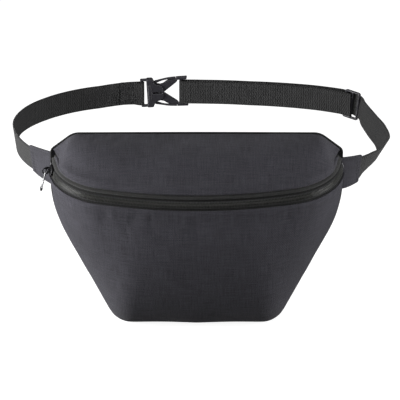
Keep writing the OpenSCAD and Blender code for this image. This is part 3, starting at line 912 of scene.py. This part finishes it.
# How far the right belt stands out of its drawn line, in millimetres
RIGHT_OUT = [(0, 0), (25, 2), (45, 4), (80, 3.5), (105, 0), (140, -2), (165, -3),
             (186, -4), (198, -1), (206, 0)]
RIGHT_LINE, LEFT_LINE, ARC_R, LARGE_R = belt_lines()
RIGHT_LINE = moved_out(RIGHT_LINE, RIGHT_OUT)
ARC_CENTRE = (RIGHT_LINE[-1][0], RIGHT_LINE[-1][1] - ARC_R)


# Drape of each belt line: lift in millimetres and lean in degrees at distances from the wing's root
RIGHT_LIFT = [(0, -4.8), (20, -4), (35, -1.5), (60, 0), (140, 0), (170, 0.3), (185, 1.0), (196, 4.4),
              (205, 6.8), (219, 7.5), (246, 6.8), (278, 5.4), (322, 3.6), (370, 3.0), (392, 3.0)]
RIGHT_LEAN = [(0, 0), (18, 6), (30, 22), (45, 31), (80, 30), (110, 23), (150, 17), (180, 11),
              (200, 4), (212, 0)]
LEFT_LIFT = [(0, 0), (120, 0), (160, -0.8), (200, -1.6), (270, -1.5), (300, 0.5), (316, 0.9)]
LEFT_LEAN = [(0, 0), (30, -8), (110, -8), (150, 0)]


def split_line(line, length):
    """The x, y points up to a length along a line, and those from there on."""
    points = [np.array(q[:2]) for q in line]
    run = distances_of(points)
    i = int(np.searchsorted(run, length))
    return points[:i + 1], points[i:]


def bar_turn(bar_x, side):
    """Points of the webbing's turn round a buckle bar, from the outer to the inner ply."""
    return [np.array([bar_x + side * 1.5 * math.sin(a), BUCKLE_Y + BEND_R * math.cos(a)])
            for a in np.radians(np.arange(0, 181, 12))]


def make_wing(name, points, node, heights, lifts, leans):
    """A sewn cloth wing whose root is caught in the pouch's side seam."""
    root = points[0] + unit(points[0] - points[1]) * 3.2
    points = [root] + points
    f = np.linspace(0, 1, len(points))
    run = distances_of(points, -3.2)
    half_h = heights[0] + (heights[1] - heights[0]) * f ** 1.4
    half_t = np.interp(f, [0, 0.06, 0.9, 1], [1.0, 1.45, 1.5, 1.25])
    cloth = strap(name, points, half_h, half_t, along_table(lifts, run), along_table(leans, run))
    # The wing is dressed in the darker copy of the pouch cloth, which is painted shade.
    return piece(cloth, "bag", WING_PAINTED_SHADE_CLOTH, "pouch_fabric", node)


def make_belt():
    right_wing, right_rest = split_line(RIGHT_LINE, WING_RIGHT_L)
    left_wing, left_rest = split_line(LEFT_LINE, WING_L)
    make_wing("wing_cloth_right", right_wing, "wing_right", (16.6, 14.6), RIGHT_LIFT, RIGHT_LEAN)
    make_wing("wing_cloth_left", left_wing, "wing_left", (17, 14.4), LEFT_LIFT, LEFT_LEAN)
    half_w, half_t = WEB_W / 2, WEB_T / 2

    tail_r = LARGE_R - WEB_T - 0.3
    tail = [np.array([LEFT_BAR_X - 2.4, BUCKLE_Y - BEND_R])]
    for d in np.arange(9, 25, 2):
        a = d / LARGE_R
        tail.append(np.array([LEFT_BAR_X - tail_r * math.sin(a), RING_Y - LARGE_R + tail_r * math.cos(a)]))
    left = left_wing[-3:-1] + left_rest
    run = distances_of(left, WING_L - 4)
    lift, lean = along_table(LEFT_LIFT, run), along_table(LEFT_LEAN, run)
    back = bar_turn(LEFT_BAR_X, 1)[1:] + tail
    lift = np.concatenate([lift, np.full(len(back), lift[-1])])
    lean = np.concatenate([lean, np.zeros(len(back))])
    left_strap = strap("belt_left", left + back, half_w, half_t, lift, lean)
    piece(left_strap, "bag", WEBBING, "webbing", "webbing_left")

    split_x = 25
    inner_r = ARC_R - 2 * BEND_R
    inner = [np.array([ARC_CENTRE[0] + inner_r * math.sin(a), ARC_CENTRE[1] - inner_r * math.cos(a)])
             for a in np.linspace(math.pi, GLIDE_ANGLE, 80)]
    near = [p for p in inner if p[0] < split_x]
    far = [near[-1]] + [p for p in inner if p[0] >= split_x]
    outer = right_wing[-3:-1] + right_rest
    run = distances_of(outer, WING_RIGHT_L - 4)
    lift, lean = along_table(RIGHT_LIFT, run), along_table(RIGHT_LEAN, run)
    back = bar_turn(PLUG_BAR_X, -1)[1:] + near[1:]
    back_lift = [return_lift(p) for p in back]
    belt = strap("belt_right", outer + back, half_w, half_t, np.concatenate([lift, back_lift]),
                 np.concatenate([lean, np.zeros(len(back))]))
    dress(belt, WEBBING)
    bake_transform(belt)
    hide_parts("webbing_right")
    slack = -1.2 * np.linspace(0, 1, len(far)) ** 2
    ply = strap("belt_return", far, half_w, half_t, np.array([return_lift(p) for p in far]) + slack)
    dress(ply, WEBBING)
    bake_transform(ply)


RIGHT_TOTAL = float(distances_of([q[:2] for q in RIGHT_LINE])[-1])
GLIDE_ANGLE = math.radians(147.6)


def return_lift(p):
    """Lift of the inner ply, taken from the outer one beside it."""
    angle = math.atan2(p[0] - ARC_CENTRE[0], p[1] - ARC_CENTRE[1])
    return float(along_table(RIGHT_LIFT, [RIGHT_TOTAL - ARC_R * max(0.0, angle)])[0])


# ---- Moulded and metal hardware ----
def placed(x_axis, y_axis, out_axis, origin):
    """The matrix that puts a shape drawn in millimetres in its own plane into the row frame."""
    m = Matrix.Identity(4)
    for column, axis in enumerate((x_axis, y_axis, out_axis)):
        for row in range(3):
            m[row][column] = axis[row] * MM
    for row in range(3):
        m[row][3] = origin[row] * MM
    return m


def plate(outline, holes, thick, bevel, matrix, level=0.0):
    """A flat shape with rounded edges and holes, level above its own plane, as a mesh."""
    curve = bpy.data.curves.new("plate", "CURVE")
    curve.dimensions = "2D"
    curve.fill_mode = "BOTH"
    curve.extrude = thick / 2 - bevel
    curve.bevel_depth = bevel
    curve.bevel_resolution = 2
    curve.offset = -bevel
    for loop in (outline, *holes):
        spline = curve.splines.new("POLY")
        spline.points.add(len(loop) - 1)
        for point, (x, y) in zip(spline.points, loop):
            point.co = (x, y, 0, 1)
        spline.use_cyclic_u = True
    obj = bpy.data.objects.new("plate", curve)
    scene.collection.objects.link(obj)
    data = bpy.data.meshes.new_from_object(obj.evaluated_get(bpy.context.evaluated_depsgraph_get()))
    bpy.data.objects.remove(obj)
    data.transform(matrix @ Matrix.Translation((0, 0, level)))
    return data


def tube(path, radius, matrix, sides=12):
    """A round bar along points in a shape's own axes, as a mesh. radius may change along it."""
    path = np.array(path, float)
    radius = np.broadcast_to(np.asarray(radius, float), len(path))
    points = []
    guide = unit(np.array([0.3, 0.2, 0.93]))
    for i, p in enumerate(path):
        ahead = unit(path[min(i + 1, len(path) - 1)] - path[max(i - 1, 0)])
        across = unit(np.cross(ahead, guide))
        up = np.cross(across, ahead)
        for j in range(sides):
            a = 2 * math.pi * j / sides
            points.append(p + radius[i] * (math.cos(a) * across + math.sin(a) * up))
    data = bpy.data.meshes.new("tube")
    data.from_pydata([tuple(p) for p in points], [], bar_faces(len(path), sides))
    data.transform(matrix)
    return data


def fused(name, parts, voxel, smoothing=3):
    """One moulding from overlapping meshes, with softened edges. voxel is in millimetres."""
    objects = []
    for part in parts:
        obj = bpy.data.objects.new(name, part)
        scene.collection.objects.link(obj)
        objects.append(obj)
    with bpy.context.temp_override(active_object=objects[0], selected_editable_objects=objects):
        bpy.ops.object.join()
    obj = objects[0]
    remesh = obj.modifiers.new("remesh", "REMESH")
    remesh.mode = "VOXEL"
    remesh.voxel_size = voxel * MM
    smooth = obj.modifiers.new("smooth", "SMOOTH")
    smooth.factor = 0.5
    smooth.iterations = smoothing
    data = bpy.data.meshes.new_from_object(obj.evaluated_get(bpy.context.evaluated_depsgraph_get()))
    data.name = name
    data.shade_smooth()
    obj.modifiers.clear()
    obj.data = data
    obj.name = name
    return obj


# The buckle lies tilted and a little above the CAD's, as the belt does there. Its axes start
# at the socket's bar, and the plug's at its own bar.
BUCKLE_TILT = math.radians(3.1)
BUCKLE_LIFT = 1.5
TILT_COS, TILT_SIN = math.cos(BUCKLE_TILT), math.sin(BUCKLE_TILT)
BUCKLE = placed((TILT_COS, 0, TILT_SIN), (-TILT_SIN, 0, TILT_COS), (0, -1, 0),
                (LEFT_BAR_X, BUCKLE_Y, BELT_Z + BUCKLE_LIFT))
PLUG = BUCKLE @ Matrix.Translation((PLUG_BAR_X - LEFT_BAR_X, 0, 0))


def mirror_outline(half):
    """A closed outline from its upper half, drawn from left to right."""
    return half + [(x, -y) for x, y in half[::-1]]


def make_socket():
    h = 15.5
    body = mirror_outline([(5.3, h), (10.4, h), (11.6, 14.4), (13.4, 10.8), (15.4, 9.0), (18.0, 8.6),
                           (20.5, 7.6), (22.0, 5.4), (22.4, 3)])
    slot = rounded(oblong(11.5, 20.8, -0.8, 0.8), 0.45)
    thumb = rounded([(6.8, -9.0), (9.6, -8.2), (9.6, 8.2), (6.8, 9.0)], 1)
    parts = [
        plate(body, [slot], 1.9, 0.7, BUCKLE, 3.1),
        plate(body, [], 1.9, 0.7, BUCKLE, -3.1),
        plate(rounded(oblong(5.0, 8.4, -h, h), 1), [], 7.8, 1.2, BUCKLE),
        plate(thumb, [], 1.2, 0.4, BUCKLE, 4.0),
        tube([(0, -h + 0.4, 0), (0, h - 0.4, 0)], 1.3, BUCKLE),
    ]
    for side in (1, -1):
        rail = rounded(oblong(-1.6, 7, side * h, side * 12.8), 1.0)
        parts.append(plate(rail, [], 4.2, 1.2, BUCKLE))
        wall = [(11, side * 4.6), (17.5, side * 4.6), (17.5, side * 6.8), (11, side * 5.8)]
        parts.append(plate(wall, [], 5.5, 0.4, BUCKLE))
        cheek = [(7.5, side * h), (11.0, side * h), (12.0, side * 14.4), (11.6, side * 13.5),
                 (7.5, side * 13.5)]
        parts.append(plate(cheek, [], 6.5, 0.4, BUCKLE))
    obj = fused("socket_moulding", parts, 0.34)
    piece(obj, "bag", ACETAL, "buckle_plastic", "buckle_socket")


def make_plug():
    parts = [tube([(0, -14.5, 0), (0, 14.5, 0)], 1.3, PLUG)]
    for side in (1, -1):
        rail = [(6.4, side * 15.7), (-4.4, side * 15.9), (-5.2, side * 13.7), (-12.6, side * 13.3),
                (-15.8, side * 11.6), (-18.6, side * 9.6), (-22.6, side * 8.8), (-23.2, side * 0.2),
                (-18.2, side * 0.2), (-5.0, side * 10.0), (-3.6, side * 11.6), (-3.4, side * 12.8),
                (6.4, side * 13.0)]
        parts.append(plate(rounded(rail, 0.45, 3), [], 4.2, 0.5, PLUG))
        rib = [(-18, side * 1.2), (-27.5, side * 1.2), (-28.2, side * 2.4), (-27.5, side * 3.6),
               (-18, side * 3.6)]
        parts.append(plate(rib, [], 3.3, 0.5, PLUG))
        cheek = [(-5, side * 16.2), (6.8, side * 16.4), (6.8, side * 14.2), (-5, side * 14.0)]
        parts.append(plate(rounded(cheek, 0.7), [], 4.0, 1.0, PLUG))
    parts.append(plate(rounded(oblong(-28, -18, -1.8, 1.8), 0.6), [], 1.6, 0.4, PLUG))
    obj = fused("plug_moulding", parts, 0.34)
    piece(obj, "plug", ACETAL, "buckle_plastic", "buckle_plug")


def make_arm(name, side, body, node):
    """A springy side arm, slim in the middle, with a barbed head."""
    root = np.array([-5.2, 14.9])
    span, bow, drop = 23.4, 1.3, 4.2
    upper, lower = [], []
    for f in np.linspace(0, 1, 15):
        x = root[0] - f * span
        y = root[1] + bow * math.sin(math.pi * f) - drop * f
        half = np.interp(f, [0, 0.2, 0.6, 0.82, 0.93, 1], [1.2, 1.0, 0.8, 1.2, 1.8, 1.0])
        upper.append((x, side * (y + half)))
        lower.append((x, side * (y - half)))
    outline = upper + lower[::-1]
    obj = fused(name, [plate(outline, [], 3.3, 0.6, PLUG)], 0.26)
    piece(obj, body, ACETAL, "buckle_plastic", node)


def make_adjuster():
    radius = ARC_R - BEND_R
    tilt, lift = math.radians(7), 5.6
    ahead = np.array([math.cos(GLIDE_ANGLE), math.sin(GLIDE_ANGLE), 0])
    out = np.array([ahead[1], -ahead[0], 0])
    up = np.array([0, 0, 1])
    at = np.array([*ARC_CENTRE, BELT_Z + lift]) + radius * out
    frame_ahead = ahead * math.cos(tilt) + up * math.sin(tilt)
    frame_up = up * math.cos(tilt) - ahead * math.sin(tilt)
    m = placed(frame_ahead, frame_up, out, at)
    frame_l, frame_h, slot_h = 18, 31, 25.6
    outline = rounded(oblong(-frame_l / 2, frame_l / 2, -frame_h / 2, frame_h / 2), 2.4)
    slots = [rounded(oblong(side * 1.3, side * 6.6, -slot_h / 2, slot_h / 2), 0.8) for side in (1, -1)]
    parts = [plate(outline, slots, 2.4, 0.9, m)]
    for x in (-7.8, 0, 7.8):
        end = frame_h / 2 - 1.2
        parts.append(tube([(x, -end, 0), (x, end, 0)], 1.45, m, 16))
    for step in range(-5, 6):
        parts.append(tube([(-0.6, step * 2.2, 1.2), (0.6, step * 2.2, 1.2)], 0.45, m, 8))
    piece(fused("adjuster_moulding", parts, 0.3), "adjuster", ACETAL, "buckle_plastic", "tri_glide")


# ---- Slider and puller ----
def slider_axes():
    """Travel, up-the-band and outward directions at the closed slider, and its seat."""
    _, _, h = zip_station(11)
    n = right_of(h)
    travel = unit(np.array([math.cos(h), math.sin(h), ZIP_SLOPE * math.sin(h)]))
    lean = np.array([-n[0] * math.sin(ZIP_LEAN), -n[1] * math.sin(ZIP_LEAN), math.cos(ZIP_LEAN)])
    outward = unit(np.cross(travel, lean))
    return travel, np.cross(outward, travel), outward, band_point(11, 0, 0)


TRAVEL, UPWARD, OUTWARD, SEAT = slider_axes()
SLIDER = placed(TRAVEL, UPWARD, OUTWARD, SEAT)
BAR_Z = 6.7


def make_slider():
    half = [(-6.4, 2.0), (-5.2, 3.3), (-2, 4.0), (1.5, 4.5), (4.4, 4.3), (6.0, 3.0), (6.5, 1.2)]
    outline = mirror_outline(half)
    parts = [plate(outline, [], 1.1, 0.4, SLIDER, 2.15), plate(outline, [], 1.1, 0.4, SLIDER, -2.15)]
    wedge = mirror_outline([(2.2, 0.2), (4.6, 1.5), (6.2, 1.6)])
    parts.append(plate(wedge, [], 4.4, 0.3, SLIDER))
    for side in (1, -1):
        lip = [(-6.0, side * 2.6), (-2, side * 3.6), (2, side * 4.2), (2, side * 4.8),
               (-2, side * 4.4), (-6.1, side * 3.4)]
        for level in (1.35, -1.35):
            parts.append(plate(lip, [], 0.9, 0.2, SLIDER, level))
    piece(fused("slider_shell", parts, 0.2, 2), "slider", DARK_METAL, "zip_metal", "slider_body")
    reach, low = 4.4, 2.3
    arch = [(-reach, 0, low), (-reach - 0.1, 0, 4.2), (-reach + 0.4, 0, 5.8), (-reach + 1.5, 0, BAR_Z),
            (0, 0, BAR_Z + 0.1), (reach - 1.5, 0, BAR_Z), (reach - 0.4, 0, 5.8),
            (reach + 0.1, 0, 4.2), (reach, 0, low)]
    smooth_arch = refine(np.array([arch, arch], float), 4)[0]
    parts = [tube(smooth_arch, 0.78, SLIDER, 12)]
    for side in (1, -1):
        foot = rounded(oblong(side * 3.4, side * 5.4, -1.2, 1.2), 0.4)
        parts.append(plate(foot, [], 1.0, 0.3, SLIDER, 2.9))
    piece(fused("slider_arch", parts, 0.16, 2), "slider", DARK_METAL, "zip_metal", "slider_bridge")


def make_puller():
    link_r, wire_r = 3.2, 0.65
    drop = link_r - 0.8 - wire_r - 0.05
    ring = [(0, -drop + link_r * math.cos(a), BAR_Z + link_r * math.sin(a))
            for a in np.linspace(0, 2 * math.pi, 49)[:-1]]
    sections = []
    for k, p in enumerate(ring):
        a = 2 * math.pi * k / len(ring)
        spoke = np.array([0, math.cos(a), math.sin(a)])
        sections.append([np.array(p) + wire_r * (math.cos(b) * spoke + math.sin(b) * np.array([1, 0, 0]))
                         for b in np.linspace(0, 2 * math.pi, 13)[:-1]])
    world = np.array([[SEAT + q[0] * TRAVEL + q[1] * UPWARD + q[2] * OUTWARD for q in s] for s in sections])
    piece(loft("puller_ring", world, closed=True), "link", DARK_METAL, "zip_metal", "puller_link")

    hang = math.atan2(-TRAVEL[2], UPWARD[2])
    turn = Matrix.Translation((0, -drop - link_r, BAR_Z)) @ Matrix.Rotation(hang, 4, "Z")
    m = SLIDER @ turn
    top, length = 2.15, 20
    half = [(top, 0.9), (top - 0.5, 2.0), (top - 2, 2.5), (top - 6, 2.15), (top - 12, 1.9), (top - 17, 2.3),
            (top - length + 0.9, 2.0), (top - length, 0.9)]
    outline = [(y, x) for x, y in mirror_outline(half)]
    eye = [(1.35 * math.cos(a), -0.35 + 1.35 * math.sin(a)) for a in np.linspace(0, 2 * math.pi, 21)[:-1]]
    grip = rounded(oblong(-0.8, 0.8, top - 14.6, top - 7), 0.7)
    obj = fused("puller_blade", [plate(outline, [eye, grip], 1.4, 0.5, m)], 0.17, 2)
    piece(obj, "tab", BRIGHT_METAL, "zip_metal", "puller_tab")
    half_tip = [(top - 16.6, 2.5), (top - 19.2, 2.35), (top - length - 0.4, 1.0)]
    tip = rounded([(y, x) for x, y in mirror_outline(half_tip)], 0.6)
    piece(fused("puller_tip", [plate(tip, [], 1.9, 0.6, m)], 0.2, 2), "tab", DIPPED, "zip_metal")


def make_stop(name, s, node):
    """A crimped metal stop across the two tapes."""
    _, _, h = zip_station(s)
    n = right_of(h)
    up = unit(np.array([-n[0] * math.sin(ZIP_LEAN), -n[1] * math.sin(ZIP_LEAN), math.cos(ZIP_LEAN)]))
    travel = np.array([math.cos(h), math.sin(h), 0])
    out = np.cross(travel, up)
    m = placed(travel, up, out, band_point(s, 0, 0))
    body = rounded(oblong(-1.0, 1.0, -3.1, 3.1), 0.6)
    groove = tube([(0, -2.6, 1.75), (0, 2.6, 1.75)], 0.45, m, 8)
    piece(fused(name, [plate(body, [], 3.4, 0.7, m), groove], 0.2, 2), "bag", DARK_METAL, "zip_metal", node)


def make_hardware():
    make_socket()
    make_plug()
    make_arm("arm_moulding_upper", 1, "arm_upper", "plug_arm_upper")
    make_arm("arm_moulding_lower", -1, "arm_lower", "plug_arm_lower")
    make_adjuster()
    make_slider()
    make_puller()
    make_stop("stop_crimp_left", 1.5, "zip_stop_left")
    make_stop("stop_crimp_right", ZIP_L - 1.5, "zip_stop_right")


# ---- Stitching ----
class Stitches:
    """Collects lockstitches along lines and makes one mesh of them."""

    def __init__(self, length=2.3, gap=0.8, radius=0.24):
        self.length, self.gap, self.radius = length, gap, radius
        self.points, self.faces = [], []

    def row(self, line, normals):
        line, normals = np.asarray(line, float), np.asarray(normals, float)
        run = distances_of(line)

        def at(s, values):
            return np.array([np.interp(s, run, values[:, k]) for k in range(3)])

        s = 0.3
        while s + self.length < run[-1]:
            self.stitch(at(s, line), at(s + self.length, line), unit(at(s, normals)))
            s += self.length + self.gap

    def stitch(self, a, b, normal):
        across = unit(np.cross(b - a, normal))
        base, sides = len(self.points), 6
        rings = [(0, 0.35, -0.12), (0.18, 0.9, 0.08), (0.5, 1.0, 0.16), (0.82, 0.9, 0.08), (1, 0.35, -0.12)]
        for f, size, lift in rings:
            p = a + (b - a) * f + normal * lift
            for j in range(sides):
                t = 2 * math.pi * j / sides
                self.points.append(p + self.radius * size * (math.cos(t) * across + math.sin(t) * normal))
        self.faces += bar_faces(len(rings), sides, base)

    def make(self, name):
        return mesh_object(name, self.points, self.faces)


class Face:
    """One face of a strap, for finding points on it."""

    def __init__(self, line, half_h, half_t, side, lifts, leans):
        self.points = [np.array(q[:2]) for q in line]
        self.run = distances_of(self.points)
        self.half_h, self.half_t, self.side, self.lifts, self.leans = half_h, half_t, side, lifts, leans

    def at(self, distance, z):
        """The point and normal at a distance along the strap and height z."""
        x, y = (np.interp(distance, self.run, [p[k] for p in self.points]) for k in (0, 1))
        i = min(int(np.searchsorted(self.run, distance)), len(self.points) - 1)
        n = right_of(heading_of(self.points, max(i, 1)))
        lean = math.radians(float(along_table(self.leans, [distance])[0]))
        lift = float(along_table(self.lifts, [distance])[0])
        face = self.side * self.half_t
        across = face * math.cos(lean) + (z - LEAN_SHIFT * self.half_h) * math.sin(lean)
        up = z * math.cos(lean) - face * math.sin(lean)
        normal = self.side * np.array([n[0] * math.cos(lean), n[1] * math.cos(lean), -math.sin(lean)])
        return np.array([x + n[0] * across, y + n[1] * across, BELT_Z + lift + up]), normal

    def row(self, stitches, start, finish, steps=14):
        """A stitched line between two (distance, height) places."""
        shares = np.linspace(0, 1, steps)
        (x0, z0), (x1, z1) = start, finish
        found = [self.at(x0 + (x1 - x0) * f, z0 + (z1 - z0) * f) for f in shares]
        stitches.row([p for p, _ in found], [n for _, n in found])

    def box(self, stitches, start, finish, half_h):
        """A sewn box with a cross in it."""
        corners = [(start, -half_h), (finish, -half_h), (finish, half_h), (start, half_h)]
        for a, b in zip(corners, corners[1:] + corners[:1]):
            self.row(stitches, a, b)
        self.row(stitches, corners[0], corners[2])
        self.row(stitches, corners[1], corners[3])


def make_stitching():
    bag = Stitches()
    for line, length, lifts, leans in ((RIGHT_LINE, WING_RIGHT_L, RIGHT_LIFT, RIGHT_LEAN),
                                       (LEFT_LINE, WING_L, LEFT_LIFT, LEFT_LEAN)):
        for side in (1, -1):
            face = Face(line, 15.5, 1.5, side, lifts, leans)
            for z in (1, -1):
                face.row(bag, (1.5, z * 14.2), (length - 2, z * 12.4))
            face.row(bag, (length - 2.4, -12), (length - 2.4, 12))
            face.row(bag, (length - 5.0, -12), (length - 5.0, 12))
    total = float(distances_of([q[:2] for q in LEFT_LINE])[-1])
    for side, half_t in ((-1, WEB_T / 2 + 0.02), (1, WEB_T * 1.5 + 0.32)):
        face = Face(LEFT_LINE, WEB_W / 2, half_t, side, LEFT_LIFT, LEFT_LEAN)
        face.box(bag, total - 22.5, total - 10, 10.2)
    piece(bag.make("belt_stitching"), "bag", THREAD, "webbing")

    rim = back_rim()
    centre = np.array([0, 12.0])
    size = np.linalg.norm(rim - centre, axis=1)
    ring = centre + (rim - centre) * (1 - 5.2 / size)[:, None]
    line = standing(ring, -0.4)
    border = Stitches()
    border.row(np.concatenate([line, line[:1]]), np.tile([0, 1, 0], (len(line) + 1, 1)))
    piece(border.make("back_stitching"), "bag", THREAD, "pouch_fabric")

    for name, rise, lift, rider in (("tape_stitching_upper", 10.2, 1.52, lifting_piece),
                                    ("tape_stitching_lower", -5.2, 0.42, None)):
        rows = Stitches(length=2.0, radius=0.2)
        stations = np.arange(6, ZIP_L - 6, 2.0)
        line = [band_point(s, rise, lift) for s in stations]
        normals = [unit(band_point(s, rise, lift + 1) - band_point(s, rise, lift)) for s in stations]
        rows.row(line, normals)
        if rider:
            rider(rows.make(name), THREAD, "zip_tape")
        else:
            piece(rows.make(name), "bag", THREAD, "zip_tape")


# ---- Studio ----
def make_studio():
    floor_z = cad_low[2] / MM - 0.8
    floor = mesh_object("floor", [(-6000, -6000, floor_z), (6000, -6000, floor_z), (6000, 9000, floor_z),
                                  (-6000, 9000, floor_z)], [(0, 1, 2, 3)])
    g = Graph("floor_paper", Base_Color=(0.5, 0.5, 0.5, 1), Roughness=0.9, Specular_IOR_Level=0.1)
    g.shader.inputs["Emission Color"].default_value = (1, 1, 1, 1)
    g.shader.inputs["Emission Strength"].default_value = 0.9
    grain = g.noise(g.place(), 60.0, 3.0)
    g.bump(grain, 0.0002, 0.2)
    floor.data.materials.append(g.material)
    floor.visible_diffuse = False
    floor.visible_glossy = False

    world = bpy.data.worlds.new("studio")
    world.use_nodes = True
    background = world.node_tree.nodes["Background"]
    background.inputs[0].default_value = (1, 1, 1, 1)
    background.inputs[1].default_value = 0.13
    scene.world = world

    for name, place, size, power in (("key_left", (-0.8, -0.14, 0.08), 0.5, 13),
                                     ("fill_right", (0.8, -0.16, 0.08), 0.4, 5),
                                     ("front_top", (0.0, -1.0, 1.5), 1.2, 9.5)):
        data = bpy.data.lights.new(name, "AREA")
        data.shape = "SQUARE"
        data.size = size
        data.energy = power
        light = bpy.data.objects.new(name, data)
        light.location = place
        aim = Vector((0, 0.05, 0.0)) - Vector(place)
        light.rotation_euler = aim.to_track_quat("-Z", "Y").to_euler()
        scene.collection.objects.link(light)
    scene.view_settings.view_transform = "Standard"


make_camera()
make_pouch()
make_back()
make_binding()
make_zip()
make_belt()
make_hardware()
make_stitching()
make_studio()
